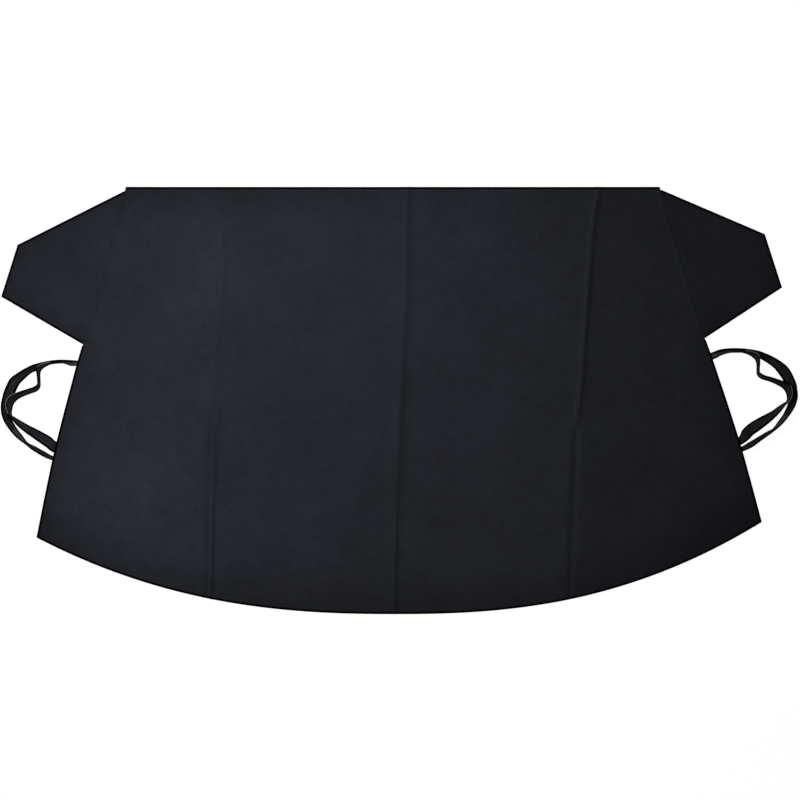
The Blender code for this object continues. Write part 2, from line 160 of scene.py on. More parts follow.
def stood_in_scene(name: str, data: bpy.types.ID) -> bpy.types.Object:
    """Make an object of some data and link it to the scene."""
    made = bpy.data.objects.new(name, data)
    bpy.context.scene.collection.objects.link(made)
    return made


def closed_mesh(
    name: str, shape: bmesh.types.BMesh, finish: bpy.types.Material | None = None
) -> bpy.types.Mesh:
    """Turn a worked shape into a mesh and free it.

    Args:
        name: The mesh's name.
        shape: The shape, which can't be used afterwards.
        finish: The mesh's material.

    Returns:
        The mesh.
    """
    mesh = bpy.data.meshes.new(name)
    shape.to_mesh(mesh)
    shape.free()
    if finish:
        mesh.materials.append(finish)
    return mesh


class Field:
    """A number that varies over a surface, so that shader maths reads as an expression."""

    def __init__(self, sheet: "NodeSheet", socket: bpy.types.NodeSocket) -> None:
        """Wrap a socket.

        Args:
            sheet: The material's nodes.
            socket: The output that gives the number.
        """
        self.sheet = sheet
        self.socket = socket

    def math(self, operation: str, *values: "Field | float") -> "Field":
        """Add a Math node.

        Args:
            operation: The node's operation.
            values: What goes into its sockets, in order.

        Returns:
            The node's result.
        """
        inputs = dict(enumerate(values))
        made = self.sheet.node("ShaderNodeMath", {"operation": operation}, inputs)
        return Field(self.sheet, made.outputs[0])

    def __add__(self, other: "Field | float") -> "Field":
        """Return self + other."""
        return self.math("ADD", self, other)

    def __radd__(self, other: float) -> "Field":
        """Return other + self."""
        return self.math("ADD", other, self)

    def __sub__(self, other: "Field | float") -> "Field":
        """Return self - other."""
        return self.math("SUBTRACT", self, other)

    def __rsub__(self, other: float) -> "Field":
        """Return other - self."""
        return self.math("SUBTRACT", other, self)

    def __mul__(self, other: "Field | float") -> "Field":
        """Return self * other."""
        return self.math("MULTIPLY", self, other)

    def __rmul__(self, other: float) -> "Field":
        """Return other * self."""
        return self.math("MULTIPLY", other, self)

    def __abs__(self) -> "Field":
        """Return the size of the number without its sign."""
        return self.math("ABSOLUTE", self)

    def sine(self) -> "Field":
        """Return the sine."""
        return self.math("SINE", self)

    def at_least(self, low: "Field | float") -> "Field":
        """Return the greater of the number and low."""
        return self.math("MAXIMUM", self, low)

    def at_most(self, high: "Field | float") -> "Field":
        """Return the lesser of the number and high."""
        return self.math("MINIMUM", self, high)

    def step(self, start: float, end: float) -> "Field":
        """Ease from 0 to 1 as the number goes from start to end.

        Args:
            start: Where the result is still 0.
            end: Where the result is 1.

        Returns:
            The eased step.
        """
        settings = {"interpolation_type": "SMOOTHSTEP"}
        inputs = {"Value": self, "From Min": start, "From Max": end}
        made = self.sheet.node("ShaderNodeMapRange", settings, inputs)
        return Field(self.sheet, made.outputs["Result"])


class NodeSheet:
    """The nodes of one material or world."""

    def __init__(self, tree: bpy.types.NodeTree) -> None:
        """Start with no nodes.

        Args:
            tree: The node tree to fill.
        """
        self.tree = tree
        self.tree.nodes.clear()

    def node(
        self,
        kind: str,
        settings: dict[str, object] | None = None,
        inputs: dict[str | int, object] | None = None,
    ) -> bpy.types.Node:
        """Add a node.

        Args:
            kind: The node's type.
            settings: Its own settings, which are set first.
            inputs: The value, field or output that goes into each named socket.

        Returns:
            The new node.
        """
        made = self.tree.nodes.new(kind)
        for name, value in (settings or {}).items():
            setattr(made, name, value)
        for name, value in (inputs or {}).items():
            source = value.socket if isinstance(value, Field) else value
            if isinstance(source, bpy.types.NodeSocket):
                self.tree.links.new(source, made.inputs[name])
            else:
                made.inputs[name].default_value = source
        return made

    def seen(self) -> Field:
        """Return 1 for what the camera, a reflection or clear material sees directly."""
        path = self.node("ShaderNodeLightPath")
        names = ("Is Camera Ray", "Is Glossy Ray", "Is Transmission Ray")
        rays = [Field(self, path.outputs[name]) for name in names]
        return rays[0].at_least(rays[1]).at_least(rays[2])


class MaterialSheet(NodeSheet):
    """The nodes of one material."""

    def __init__(self, name: str, colour: Colour) -> None:
        """Start an empty material.

        Args:
            name: The material's name.
            colour: The plain colour that it shows in a simple viewport.
        """
        self.material = bpy.data.materials.new(name)
        self.material.use_nodes = True
        self.material.diffuse_color = (*colour, 1.0)
        super().__init__(self.material.node_tree)

    def point(self) -> bpy.types.NodeSocket:
        """Return the place on the object, in metres."""
        return self.node("ShaderNodeTexCoord").outputs["Object"]

    def surface(self) -> bpy.types.NodeSocket:
        """Return the place on the piece's own surface, in metres along and across it."""
        return self.node("ShaderNodeUVMap", {"uv_map": SURFACE_MAP}).outputs["UV"]

    def parts(self, vector: bpy.types.NodeSocket) -> tuple[Field, Field, Field]:
        """Split a vector into its three numbers."""
        made = self.node("ShaderNodeSeparateXYZ", inputs={"Vector": vector})
        return tuple(Field(self, made.outputs[name]) for name in "XYZ")

    def noise(
        self,
        vector: bpy.types.NodeSocket,
        grain: float,
        detail: float = 3.0,
        stretch: tuple[float, float, float] = (1.0, 1.0, 1.0),
    ) -> Field:
        """Add a noise that ranges about from 0 to 1.

        Args:
            vector: The place that it reads.
            grain: The size of its patches, in metres.
            detail: How many finer layers it has.
            stretch: How many times finer it is along each axis.

        Returns:
            The noise.
        """
        placed = self.node("ShaderNodeMapping", inputs={"Vector": vector, "Scale": stretch})
        inputs = {"Vector": placed.outputs[0], "Scale": 1.0 / grain, "Detail": detail}
        made = self.node("ShaderNodeTexNoise", inputs=inputs)
        return Field(self, made.outputs[0])

    def blend(self, factor: Field, low: object, high: object) -> bpy.types.NodeSocket:
        """Mix two colours.

        Args:
            factor: 0 gives low and 1 gives high.
            low: A colour or the output that gives one.
            high: A colour or the output that gives one.

        Returns:
            The mixed colour.
        """
        inputs = {0: factor, 6: self.paint(low), 7: self.paint(high)}
        made = self.node("ShaderNodeMix", {"data_type": "RGBA"}, inputs)
        return made.outputs[2]

    @staticmethod
    def paint(colour: object) -> object:
        """Return a colour with its alpha, or an output as it is."""
        return (*colour, 1.0) if isinstance(colour, tuple) else colour

    def shade(self, colour: bpy.types.NodeSocket, factor: Field) -> bpy.types.NodeSocket:
        """Multiply a colour by a number."""
        inputs = {"Vector": colour, "Scale": factor}
        return self.node("ShaderNodeVectorMath", {"operation": "SCALE"}, inputs).outputs[0]

    def ribs(self, along: Field, pitch: float) -> Field:
        """Return even ribs, from 0 to 1, that follow each other along a number."""
        return 0.5 + 0.5 * (along * (2.0 * math.pi / pitch)).sine()

    def bump(
        self,
        height: Field,
        depth: float,
        strength: float,
        under: bpy.types.NodeSocket | None = None,
    ) -> bpy.types.NodeSocket:
        """Turn a height into a normal.

        Args:
            height: The height, about from 0 to 1.
            depth: How deep 1 is, in metres.
            strength: The share of the relief that shows.
            under: The normal of a coarser relief below this one.

        Returns:
            The normal.
        """
        inputs = {"Height": height, "Distance": depth, "Strength": strength}
        if under:
            inputs["Normal"] = under
        return self.node("ShaderNodeBump", inputs=inputs).outputs[0]

    def finish(self, inputs: dict[str | int, object]) -> bpy.types.Material:
        """Close the material with a Principled shader.

        Args:
            inputs: What goes into the shader's sockets.

        Returns:
            The material.
        """
        shader = self.node("ShaderNodeBsdfPrincipled", inputs=inputs)
        self.node("ShaderNodeOutputMaterial", inputs={"Surface": shader.outputs[0]})
        return self.material


@dataclass(frozen=True)
class ClothFinish:
    """Coated woven cloth: a fine weave, cloudy handling marks and a dull gloss, its colour
    multiplied by painted light and shade.
    """

    name: str = "coated_cloth"
    dark: Colour = (0.0094, 0.0101, 0.0134)
    pale: Colour = (0.0274, 0.0291, 0.0373)
    weave: float = 0.0011
    weave_depth: float = 0.00012
    cloud: float = 0.150
    patch: float = 0.028
    fleck: float = 0.0055
    cloud_share: float = 0.60
    patch_share: float = 0.60
    fleck_share: float = 0.55
    patch_depth: float = 0.0020
    detail: float = 4.0
    roughness: float = 0.60
    roughness_spread: float = 0.16
    gloss: float = 0.045

    def make(self) -> bpy.types.Material:
        """Build the material."""
        sheet = MaterialSheet(self.name, self.pale)
        point = sheet.point()
        x, y, _ = sheet.parts(point)
        cloud = sheet.noise(point, self.cloud, self.detail)
        patch = sheet.noise(point, self.patch, self.detail)
        fleck = sheet.noise(point, self.fleck, self.detail)
        tone = 0.5 + self.cloud_share * (cloud - 0.5)
        tone = tone + self.patch_share * (patch - 0.5) + self.fleck_share * (fleck - 0.5)
        colour = sheet.blend(tone.at_least(0.0).at_most(1.0), self.dark, self.pale)
        # The cloth's colour is multiplied by the painted light and shade of the tone layer.
        painted_light = sheet.node("ShaderNodeAttribute", {"attribute_name": PAINTED_LIGHT_LAYER})
        turn = 2.0 * math.pi / self.weave
        threads = 0.5 + 0.5 * (x * turn).sine() * (y * turn).sine()
        relief = sheet.bump(patch, self.patch_depth, strength=0.4)
        normal = sheet.bump(threads, self.weave_depth, strength=0.5, under=relief)
        return sheet.finish(
            {
                "Base Color": sheet.shade(colour, Field(sheet, painted_light.outputs["Fac"])),
                "Roughness": self.roughness + self.roughness_spread * patch,
                "Specular IOR Level": self.gloss,
                "Normal": normal,
            }
        )


@dataclass(frozen=True)
class TapeFinish:
    """Black binding tape with fine cross ribs and wear in small spots."""

    name: str = "edge_tape"
    colour: Colour = (0.0010, 0.0010, 0.0012)
    wear_and_highlight: Colour = (0.0026, 0.0026, 0.0030)
    worn_patch: float = 0.012
    worn_steps: Span = (0.45, 0.75)
    rib: float = 0.0009
    rib_depth: float = 0.00012
    roughness: float = 0.72
    roughness_spread: float = 0.12

    def make(self) -> bpy.types.Material:
        """Build the material."""
        sheet = MaterialSheet(self.name, self.colour)
        along, _, _ = sheet.parts(sheet.surface())
        ribs = sheet.ribs(along, self.rib)
        wear = sheet.noise(sheet.point(), self.worn_patch, detail=4.0).step(*self.worn_steps)
        return sheet.finish(
            {
                "Base Color": sheet.blend(wear, self.colour, self.wear_and_highlight),
                "Roughness": self.roughness + self.roughness_spread * wear,
                "Specular IOR Level": 0.0,
                "Normal": sheet.bump(ribs, self.rib_depth, strength=0.6),
            }
        )


@dataclass(frozen=True)
class ElasticFinish:
    """Woven elastic: lengthwise ribs, black selvedges and, in places, a painted highlight on the
    raised rim and painted glare on the face.
    """

    name: str
    width: float = BAND_WIDTH
    body: Colour = (0.0150, 0.0152, 0.0180)
    streak: Colour = (0.0430, 0.0434, 0.0495)
    selvedge: Colour = (0.0012, 0.0012, 0.0014)
    # painted highlight along the band's raised rim, where it catches the light
    wear_and_highlight: Colour = (0.1700, 0.1700, 0.1760)
    highlight_spans: tuple[Span, ...] = ()
    # painted glare on the band's face where it turns at a grazing angle
    glare: Colour = (0.0620, 0.0625, 0.0650)
    glare_spans: tuple[Span, ...] = ()
    fade: float = 0.006
    selvedge_steps: Span = (0.0042, 0.0056)
    glare_steps: Span = (0.0055, 0.0077)
    rim_steps: Span = (0.0008, 0.0014)
    rib: float = 0.0022
    pick: float = 0.0010
    rib_depth: float = 0.00030
    rib_share: float = 0.7
    streak_width: float = 0.0030
    streak_stretch: float = 0.06
    streak_steps: Span = (0.49, 0.66)
    streak_share: float = 0.80
    roughness: float = 0.70
    roughness_spread: float = 0.15

    def make(self) -> bpy.types.Material:
        """Build the material."""
        sheet = MaterialSheet(self.name, self.body)
        place = sheet.surface()
        along, across, _ = sheet.parts(place)
        ribs = sheet.ribs(across, self.rib)
        picks = sheet.ribs(along, self.pick)
        stretch = (self.streak_stretch, 1.0, 1.0)
        streaks = sheet.noise(place, self.streak_width, stretch=stretch)
        streaks = streaks.step(*self.streak_steps)
        pale = self.streak_share * streaks + (1.0 - self.streak_share) * ribs * picks
        colour = sheet.blend(pale, self.body, self.streak)
        from_edge = 0.5 * self.width - abs(across - 0.5 * self.width)
        colour = sheet.blend(from_edge.step(*self.selvedge_steps), self.selvedge, colour)
        # Painted glare on the face, keeping the selvedges dark.
        face = from_edge.step(*self.glare_steps)
        for start, end in self.glare_spans:
            colour = sheet.blend(face * self.span(along, start, end), colour, self.glare)
        # Painted highlight on the band's raised rim.
        rim = 1.0 - across.step(*self.rim_steps)
        for start, end in self.highlight_spans:
            colour = sheet.blend(rim * self.span(along, start, end), colour, self.wear_and_highlight)
        relief = self.rib_share * ribs + (1.0 - self.rib_share) * picks
        return sheet.finish(
            {
                "Base Color": colour,
                "Roughness": self.roughness + self.roughness_spread * ribs,
                "Specular IOR Level": 0.0,
                "Normal": sheet.bump(relief, self.rib_depth, strength=0.6),
            }
        )

    def span(self, along: Field, start: float, end: float) -> Field:
        """Return how much a place lies between two lengths along the band."""
        return along.step(start, start + self.fade) * (1.0 - along.step(end - self.fade, end))


@dataclass(frozen=True)
class ThreadFinish:
    """Black sewing thread with fine paler fibres."""

    name: str = "black_thread"
    colour: Colour = (0.0045, 0.0045, 0.0052)
    fibre: float = 0.0004
    fibre_depth: float = 0.00008
    highlight: float = 2.2
    roughness: float = 0.45
    roughness_spread: float = 0.2
    gloss: float = 0.10

    def make(self) -> bpy.types.Material:
        """Build the material."""
        sheet = MaterialSheet(self.name, self.colour)
        fibres = sheet.noise(sheet.point(), self.fibre, detail=2.0)
        pale = tuple(self.highlight * value for value in self.colour)
        return sheet.finish(
            {
                "Base Color": sheet.blend(fibres, self.colour, pale),
                "Roughness": self.roughness + self.roughness_spread * fibres,
                "Specular IOR Level": self.gloss,
                "Normal": sheet.bump(fibres, self.fibre_depth, strength=0.5),
            }
        )


@dataclass
class GridPiece:
    """A fine grid whose crossings are put in place one by one, with a surface map in metres."""

    name: str
    along: Sequence[float]
    across: Sequence[float]
    place: Place
    thickness: float
    offset: float = 0.0
    rounding: float = 0.0
    # painted light and shade at each crossing, multiplied into the cloth's colour
    tone: Measure | None = None
    press: Measure | None = None
    rounding_angle: float = math.radians(55.0)
    rounding_steps: int = 2

    def build(self, finish: bpy.types.Material) -> bpy.types.Object:
        """Make the mesh and its object.

        Args:
            finish: The piece's material.

        Returns:
            The new object.
        """
        columns, rows = len(self.along), len(self.across)
        shape = bmesh.new()
        bmesh.ops.create_grid(shape, x_segments=columns - 1, y_segments=rows - 1, size=1.0)
        shape.verts.index_update()
        marks = {}
        light_and_shade = shape.verts.layers.float.new(PAINTED_LIGHT_LAYER)
        weights = shape.verts.layers.deform.verify()
        for vert in shape.verts:
            column = round((vert.co.x + 1.0) / 2.0 * (columns - 1))
            row = round((1.0 - vert.co.y) / 2.0 * (rows - 1))
            marks[vert.index] = (self.along[column], self.across[row])
            vert.co = self.place(column, row)
            vert[light_and_shade] = self.tone(column, row) if self.tone else 1.0
            vert[weights][0] = self.press(column, row) if self.press else 1.0
        surface = shape.loops.layers.uv.new(SURFACE_MAP)
        for face in shape.faces:
            face.smooth = True
            for loop in face.loops:
                loop[surface].uv = marks[loop.vert.index]
        piece = stood_in_scene(self.name, closed_mesh(self.name, shape, finish))
        piece.vertex_groups.new(name=PRESS_GROUP)
        wall = piece.modifiers.new("thickness", "SOLIDIFY")
        wall.vertex_group = PRESS_GROUP
        wall.thickness = self.thickness
        wall.offset = self.offset
        wall.use_even_offset = True
        if self.rounding:
            self.round_edges(piece)
        return piece

    def round_edges(self, piece: bpy.types.Object) -> None:
        """Round the cut edges of the piece."""
        edge = piece.modifiers.new("rounding", "BEVEL")
        edge.width = self.rounding
        edge.segments = self.rounding_steps
        edge.limit_method = "ANGLE"
        edge.angle_limit = self.rounding_angle
        edge.harden_normals = True


def dress(piece: bpy.types.Object, slot: Slot, nodes: Sequence[str] = ()) -> bpy.types.Object:
    """Fasten a piece to the cover's body and report it.

    Args:
        piece: The finished object.
        slot: The material slot meant for it; not used.
        nodes: The solids that it stands for.

    Returns:
        The same object.
    """
    if nodes:
        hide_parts(*nodes)
    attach(piece, BODY)
    log.info("%s: %d faces before its modifiers", piece.name, len(piece.data.polygons))
    return piece


@dataclass(frozen=True)
class Station:
    """One place along a band: its lower edge, its raised edge, and how it lies there."""

    foot: Plan
    head: Plan
    rise: float = 0.0
    gather: float = 1.0


def eased_slope(before: float, here: float, after: float) -> float:
    """Return a slope at the middle value that makes no overshoot on either side."""
    first, second = here - before, after - here
    if first * second <= 0.0:
        return 0.0
    return 2.0 * first * second / (first + second)


def smooth_values(values: Sequence[float], steps: int) -> list[float]:
    """Run smoothly through a list of values.

    Args:
        values: The values to pass through.
        steps: How many steps there are from one to the next.

    Returns:
        The whole run.
    """
    ends = [values[0], *values, values[-1]]
    slopes = [eased_slope(*ends[i : i + 3]) for i in range(len(values))]
    run = []
    for i in range(len(values) - 1):
        for step in range(steps):
            t = step / steps
            t2, t3 = t * t, t * t * t
            run.append(
                (2 * t3 - 3 * t2 + 1) * values[i]
                + (t3 - 2 * t2 + t) * slopes[i]
                + (3 * t2 - 2 * t3) * values[i + 1]
                + (t3 - t2) * slopes[i + 1]
            )
    return run + [values[-1]]


@dataclass
class ElasticBand:
    """A flat elastic band that stands on its lower edge and is sewn down at both ends."""

    name: str
    stations: tuple[Station, ...]
    finish: ElasticFinish
    width: float = BAND_WIDTH
    thickness: float = BAND_THICKNESS
    rounding: float = 0.0004
    steps: int = 6
    rows: int = 9

    def edges(self) -> tuple[list[Vector], list[Vector]]:
        """Return the lower and the raised edge of the band's middle surface."""
        rows = []
        for station in self.stations:
            run = math.dist(station.foot, station.head)
            stand = math.sqrt(max(0.0, (self.width * station.gather) ** 2 - run**2))
            base = station.rise + self.thickness / 2.0
            rows.append((*station.foot, base, *station.head, base + stand))
        runs = [smooth_values(values, self.steps) for values in zip(*rows)]
        foot = [Vector(point) for point in zip(*runs[:3])]
        head = [Vector(point) for point in zip(*runs[3:])]
        return foot, head

    def build(self) -> bpy.types.Object:
        """Returns:
            The band's object.
        """
        foot, head = self.edges()
        middle = [low.lerp(high, 0.5) for low, high in zip(foot, head)]
        shares = [row / (self.rows - 1) for row in range(self.rows)]

        def place(column: int, row: int) -> Vector:
            """Return a point between the raised edge and the lower one."""
            return head[column].lerp(foot[column], shares[row])

        piece = GridPiece(
            name=self.name + "_webbing",
            along=run_lengths(middle),
            across=[share * self.width for share in shares],
            place=place,
            thickness=self.thickness,
            rounding=self.rounding,
        ).build(self.finish.make())
        dress(piece, Slot.ELASTIC, [self.name])
        tuple(middle[0])
        run_lengths(middle)[-1]
        [tuple(point) for point in middle[:: self.steps // 2]]
        return piece


@dataclass(frozen=True)
class SideCut:
    """The cut of one half of the cover, and the band ends sewn under its edge."""

    roof_corner_x: float
    wing_drop: float
    shoulder: Plan
    wing_tip: Plan
    armpit: Plan
    hem_corner: Plan
    bulge: float
    bands: tuple[tuple[Station, ...], ...]
    seam_light_marks: tuple[tuple[float, float, float], ...]  # place inwards, reach and gain of a painted light line, painted shade where the gain is below zero
    band_margin: float = 0.003

    def seam_light(self, inset: float) -> float:
        """Return the painted light and shade beside the seam, at a distance into the panel."""
        marks = self.seam_light_marks
        return 1.0 + sum(g * math.exp(-(((inset - at) / reach) ** 2)) for at, reach, g in marks)

    def band_spans(self) -> list[tuple[float, float, int]]:
        """List the stretches of the side that lie on band ends.

        Returns:
            The top, the bottom and the number of layers of each stretch.
        """
        spans = []
        for end, second, layers in ((0, 1, len(self.bands)), (-1, -2, 1)):
            ys = []
            for band in self.bands:
                for station in (band[end], band[second]):
                    ys += [station.foot[1], station.head[1]]
            spans.append((max(ys) + self.band_margin, min(ys) - self.band_margin, layers))
        return spans


@dataclass(frozen=True)
class Crest:
    """How a packing fold stands at one height of the cover."""

    y: float
    height: float  # below zero for a valley
    left_reach: float
    right_reach: float
    shift: float = 0.0  # from the fold's line to its crest
    swell: float = 0.0004  # the broad rise on both sides


@dataclass(frozen=True)
class CreaseShade:
    """A line of painted shade along a fold, which is a line of painted highlight where the loss is
    below zero.
    """

    stops: tuple[tuple[float, float, float, float], ...]  # y, place, reach and loss

    def tone(self, away: float, y: float) -> float:
        """Return the painted shade of the line at a distance from the fold's line, a painted
        highlight where the loss is below zero.
        """
        _, place, reach, loss = at_height(self.stops, y)
        return 1.0 - loss * math.exp(-(((away - place) / reach) ** 2))


@dataclass(frozen=True)
class Fold:
    """A packing fold that runs from the roof edge to the hem."""

    line: tuple[Plan, ...]
    crests: tuple[Crest, ...]
    loss: float  # of light past the fold
    fade: float
    crease_shades: tuple[CreaseShade, ...]
    sharpness: float = 1.6
    rounded: bool = False
    swell_reach: float = 0.055
    lead: float = 0.004  # how far before the line the light starts to fall off

    def x(self, y: float) -> float:
        """Return where the fold's line is at y."""
        for (x_high, y_high), (x_low, y_low) in zip(self.line, self.line[1:]):
            if y >= y_low:
                return mix(x_high, x_low, (y_high - y) / (y_high - y_low))
        return self.line[-1][0]

    def crest(self, y: float) -> Crest:
        """Return how the fold stands at y."""
        return Crest(*at_height([tuple(vars(crest).values()) for crest in self.crests], y))

    def soft_x(self, y: float, reach: float = 0.03) -> float:
        """Return where the fold's line is at y, with its corners rounded."""
        steps = (-1.0, -0.5, 0.0, 0.5, 1.0)
        return sum(self.x(y + reach * step) for step in steps) / len(steps)

    def crest_x(self, y: float) -> float:
        """Return where the fold's crest is at y."""
        return self.soft_x(y) + self.crest(y).shift

    def rise(self, x: float, y: float) -> float:
        """Return how far the fold raises the cloth at a place."""
        crest = self.crest(y)
        away = x - self.crest_x(y)
        share = max(0.0, 1.0 - abs(away) / (crest.left_reach if away < 0.0 else crest.right_reach))
        flank = ease(share) if self.rounded else share**self.sharpness
        swell = crest.swell * math.exp(-((away / self.swell_reach) ** 2))
        return crest.height * flank + swell

    def tone(self, x: float, y: float) -> float:
        """Return the painted shade and highlight that the fold leaves on the cloth at a place."""
        away = x - self.soft_x(y)
        tone = 1.0 - self.loss * ease((away + self.lead) / self.fade)
        for crease in self.crease_shades:
            tone *= crease.tone(away, y)
        return tone


@dataclass(frozen=True)
class Wave:
    """A long wave of the lying cloth: its turn along x and y, and where it starts."""

    x: float
    y: float
    start: float = 0.0

    def at(self, x: float, y: float) -> float:
        """Return the wave's height at a place."""
        return math.sin(self.x * x + self.y * y + self.start)


@dataclass(frozen=True)
class LightPatch:
    """A broad round patch of painted light, which is painted shade where the gain is below zero.
    """

    centre: Plan
    reach: float
    gain: float

    def tone(self, x: float, y: float) -> float:
        """Return the patch's painted light at a place, below 1 where it is painted shade."""
        away = math.dist(self.centre, (x, y)) / self.reach
        return 1.0 + self.gain * math.exp(-away * away)


@dataclass(frozen=True)
class BorderShade:
    """Painted shade that darkens the cloth towards its free edges."""

    roof_left: float = 0.32
    roof_right: float = 0.05
    roof_change: float = 0.75  # the share of the width over which the roof's loss changes
    roof_reach: float = 0.090
    hem: float = 0.28
    hem_reach: float = 0.110
    side: float = 0.20
    side_reach: float = 0.060

    def tone(self, across: float, roof: float, hem: float, side: float) -> float:
        """Return the painted shade that the border leaves on the cloth.

        Args:
            across: The share of the way from the left side to the right.
            roof: The distance to the roof edge.
            hem: The distance to the hem.
            side: The distance to the nearest free side.

        Returns:
            The tone.
        """
        loss = mix(self.roof_left, self.roof_right, ease(across / self.roof_change))
        tone = 1.0 - loss * (1.0 - ease(roof / self.roof_reach))
        tone *= 1.0 - self.hem * (1.0 - ease(hem / self.hem_reach))
        return tone * (1.0 - self.side * (1.0 - ease(side / self.side_reach)))


@dataclass
class CoverShape:
    """The cut of the cover and how high its underside lies at any place on the floor."""

    sides: dict[Hand, SideCut]
    folds: tuple[Fold, ...]
    light_patches: tuple[LightPatch, ...]
    border: BorderShade = BorderShade()
    waves: tuple[Wave, ...] = (Wave(13.0, 4.0, 0.6), Wave(-5.0, 9.0, 1.1))
    short_waves: tuple[Wave, ...] = (Wave(31.0, -17.0), Wave(8.0, 23.0))
    short_share: float = 0.5
    ripple_height: float = 0.0005
    ripple_margin: float = 0.035
    ripple_fade: float = 0.08
    roof_y: float = 0.469
    hem_low: Plan = (0.010, -0.469)
    hem_power: float = 2.45
    edge_flat: float = 0.010
    edge_reach: float = 0.055
    lap_flat: float = 0.014
    lap_reach: float = 0.120
    band_flat: float = 0.030
    band_reach: float = 0.130
    band_ramp: float = 0.045
    armpit_clear: float = 0.005
    seam_edge: float = 0.25
    seam_reach: float = 0.005
    spans: dict[Hand, list[tuple[float, float, int]]] = field(init=False)

    def __post_init__(self) -> None:
        """Work out the stretches with band ends once."""
        self.spans = {hand: side.band_spans() for hand, side in self.sides.items()}

    def side_x(self, hand: Hand, y: float) -> float:
        """Return the side edge at y: a straight seam, then a slightly bowed side."""
        side = self.sides[hand]
        armpit_x, armpit_y = side.armpit
        corner_x, corner_y = side.hem_corner
        if y >= armpit_y:
            share = (self.roof_y - y) / (self.roof_y - armpit_y)
            return mix(side.roof_corner_x, armpit_x, share)
        share = min(1.0, (armpit_y - y) / (armpit_y - corner_y))
        bow = hand.value * side.bulge * math.sin(math.pi * share)
        return mix(armpit_x, corner_x, share) + bow

    def hem_y(self, x: float) -> float:
        """Return the bowed lower edge at x."""
        hand = Hand.LEFT if x < self.hem_low[0] else Hand.RIGHT
        corner_x, corner_y = self.sides[hand].hem_corner
        share = abs((x - self.hem_low[0]) / (corner_x - self.hem_low[0]))
        return self.hem_low[1] + (corner_y - self.hem_low[1]) * share**self.hem_power

    def ridge(self, x: float, y: float) -> float:
        """Return how far the packing folds raise the cloth."""
        return sum(fold.rise(x, y) for fold in self.folds)

    def ripple(self, x: float, y: float, inside: float) -> float:
        """Return the slow unevenness of the cloth, which dies out at its edges."""
        most = 1.0 + self.short_share
        wave = math.prod(long.at(x, y) for long in self.waves)
        wave += self.short_share * math.prod(short.at(x, y) for short in self.short_waves)
        flat = ease((inside - self.ripple_margin) / self.ripple_fade)
        return self.ripple_height * (most + wave) / most * flat

    def side_lift(self, hand: Hand, inset: float, y: float) -> float:
        """Return how far a wing's lap or the band ends raise the cloth near a side.

        Args:
            hand: Which side.
            inset: The distance from that side's edge.
            y: The place along it.

        Returns:
            The height.
        """
        below = self.sides[hand].armpit[1] - self.armpit_clear - y
        lap = 1.0 - ease(below / self.band_ramp)
        near = 1.0 - ease((inset - self.lap_flat) / (self.lap_reach - self.lap_flat))
        lift = LAP_LIFT * lap * near
        for top, low, layers in self.spans[hand]:
            away = max(0.0, y - top, low - y)
            lap = 1.0 - ease(away / self.band_ramp)
            near = 1.0 - ease((inset - self.band_flat) / (self.band_reach - self.band_flat))
            lift = max(lift, (TAPE_LIFT + layers * BAND_LIFT) * lap * near)
        return lift

    def inside(self, x: float, y: float) -> float:
        """Return how far a place lies inside the panel's edges."""
        sides = self.insets(x, y).values()
        return max(0.0, min(*sides, self.roof_y - y, y - self.hem_y(x)))

    def insets(self, x: float, y: float) -> dict[Hand, float]:
        """Return how far a place lies inside each side."""
        return {hand: max(0.0, hand.value * (self.side_x(hand, y) - x)) for hand in Hand}

    def tone(self, x: float, y: float) -> float:
        """Return the painted light and shade of the panel at a place."""
        insets = self.insets(x, y)
        free = [inset + max(0.0, y - self.sides[hand].armpit[1]) for hand, inset in insets.items()]
        across = insets[Hand.LEFT] / (insets[Hand.LEFT] + insets[Hand.RIGHT])
        tone = self.border.tone(across, self.roof_y - y, y - self.hem_y(x), min(free))
        for hand, side in self.sides.items():
            if y > side.armpit[1]:
                tone *= side.seam_light(insets[hand])
        for mark in (*self.folds, *self.light_patches):
            tone *= mark.tone(x, y)
        return tone

    def press(self, x: float, y: float) -> float:
        """Return the share of its thickness that the cloth keeps beside the seams."""
        share = 1.0
        for hand, inset in self.insets(x, y).items():
            if y > self.sides[hand].armpit[1]:
                share = min(share, mix(self.seam_edge, 1.0, min(1.0, inset / self.seam_reach)))
        return share

    def underside(self, x: float, y: float) -> float:
        """Return the height of the panel's underside at a place on the floor."""
        inside = self.inside(x, y)
        flat = ease((inside - self.edge_flat) / (self.edge_reach - self.edge_flat))
        lift = TAPE_LIFT * (1.0 - flat)
        for hand, inset in self.insets(x, y).items():
            if inset < self.band_reach:
                lift = max(lift, self.side_lift(hand, inset, y))
        return lift + self.ridge(x, y) + self.ripple(x, y, inside)

    def inward_normal(self, hand: Hand) -> Vector:
        """Return the level direction from a seam edge into the panel."""
        side = self.sides[hand]
        along = Vector((side.armpit[0] - side.roof_corner_x, side.armpit[1] - self.roof_y))
        along.normalize()
        return Vector((along.y, -along.x)) * hand.value

    def seam_start(self, hand: Hand) -> Vector:
        """Return where the wing's own top edge meets the panel's side."""
        y = self.roof_y - self.sides[hand].wing_drop
        return Vector((self.side_x(hand, y), y))


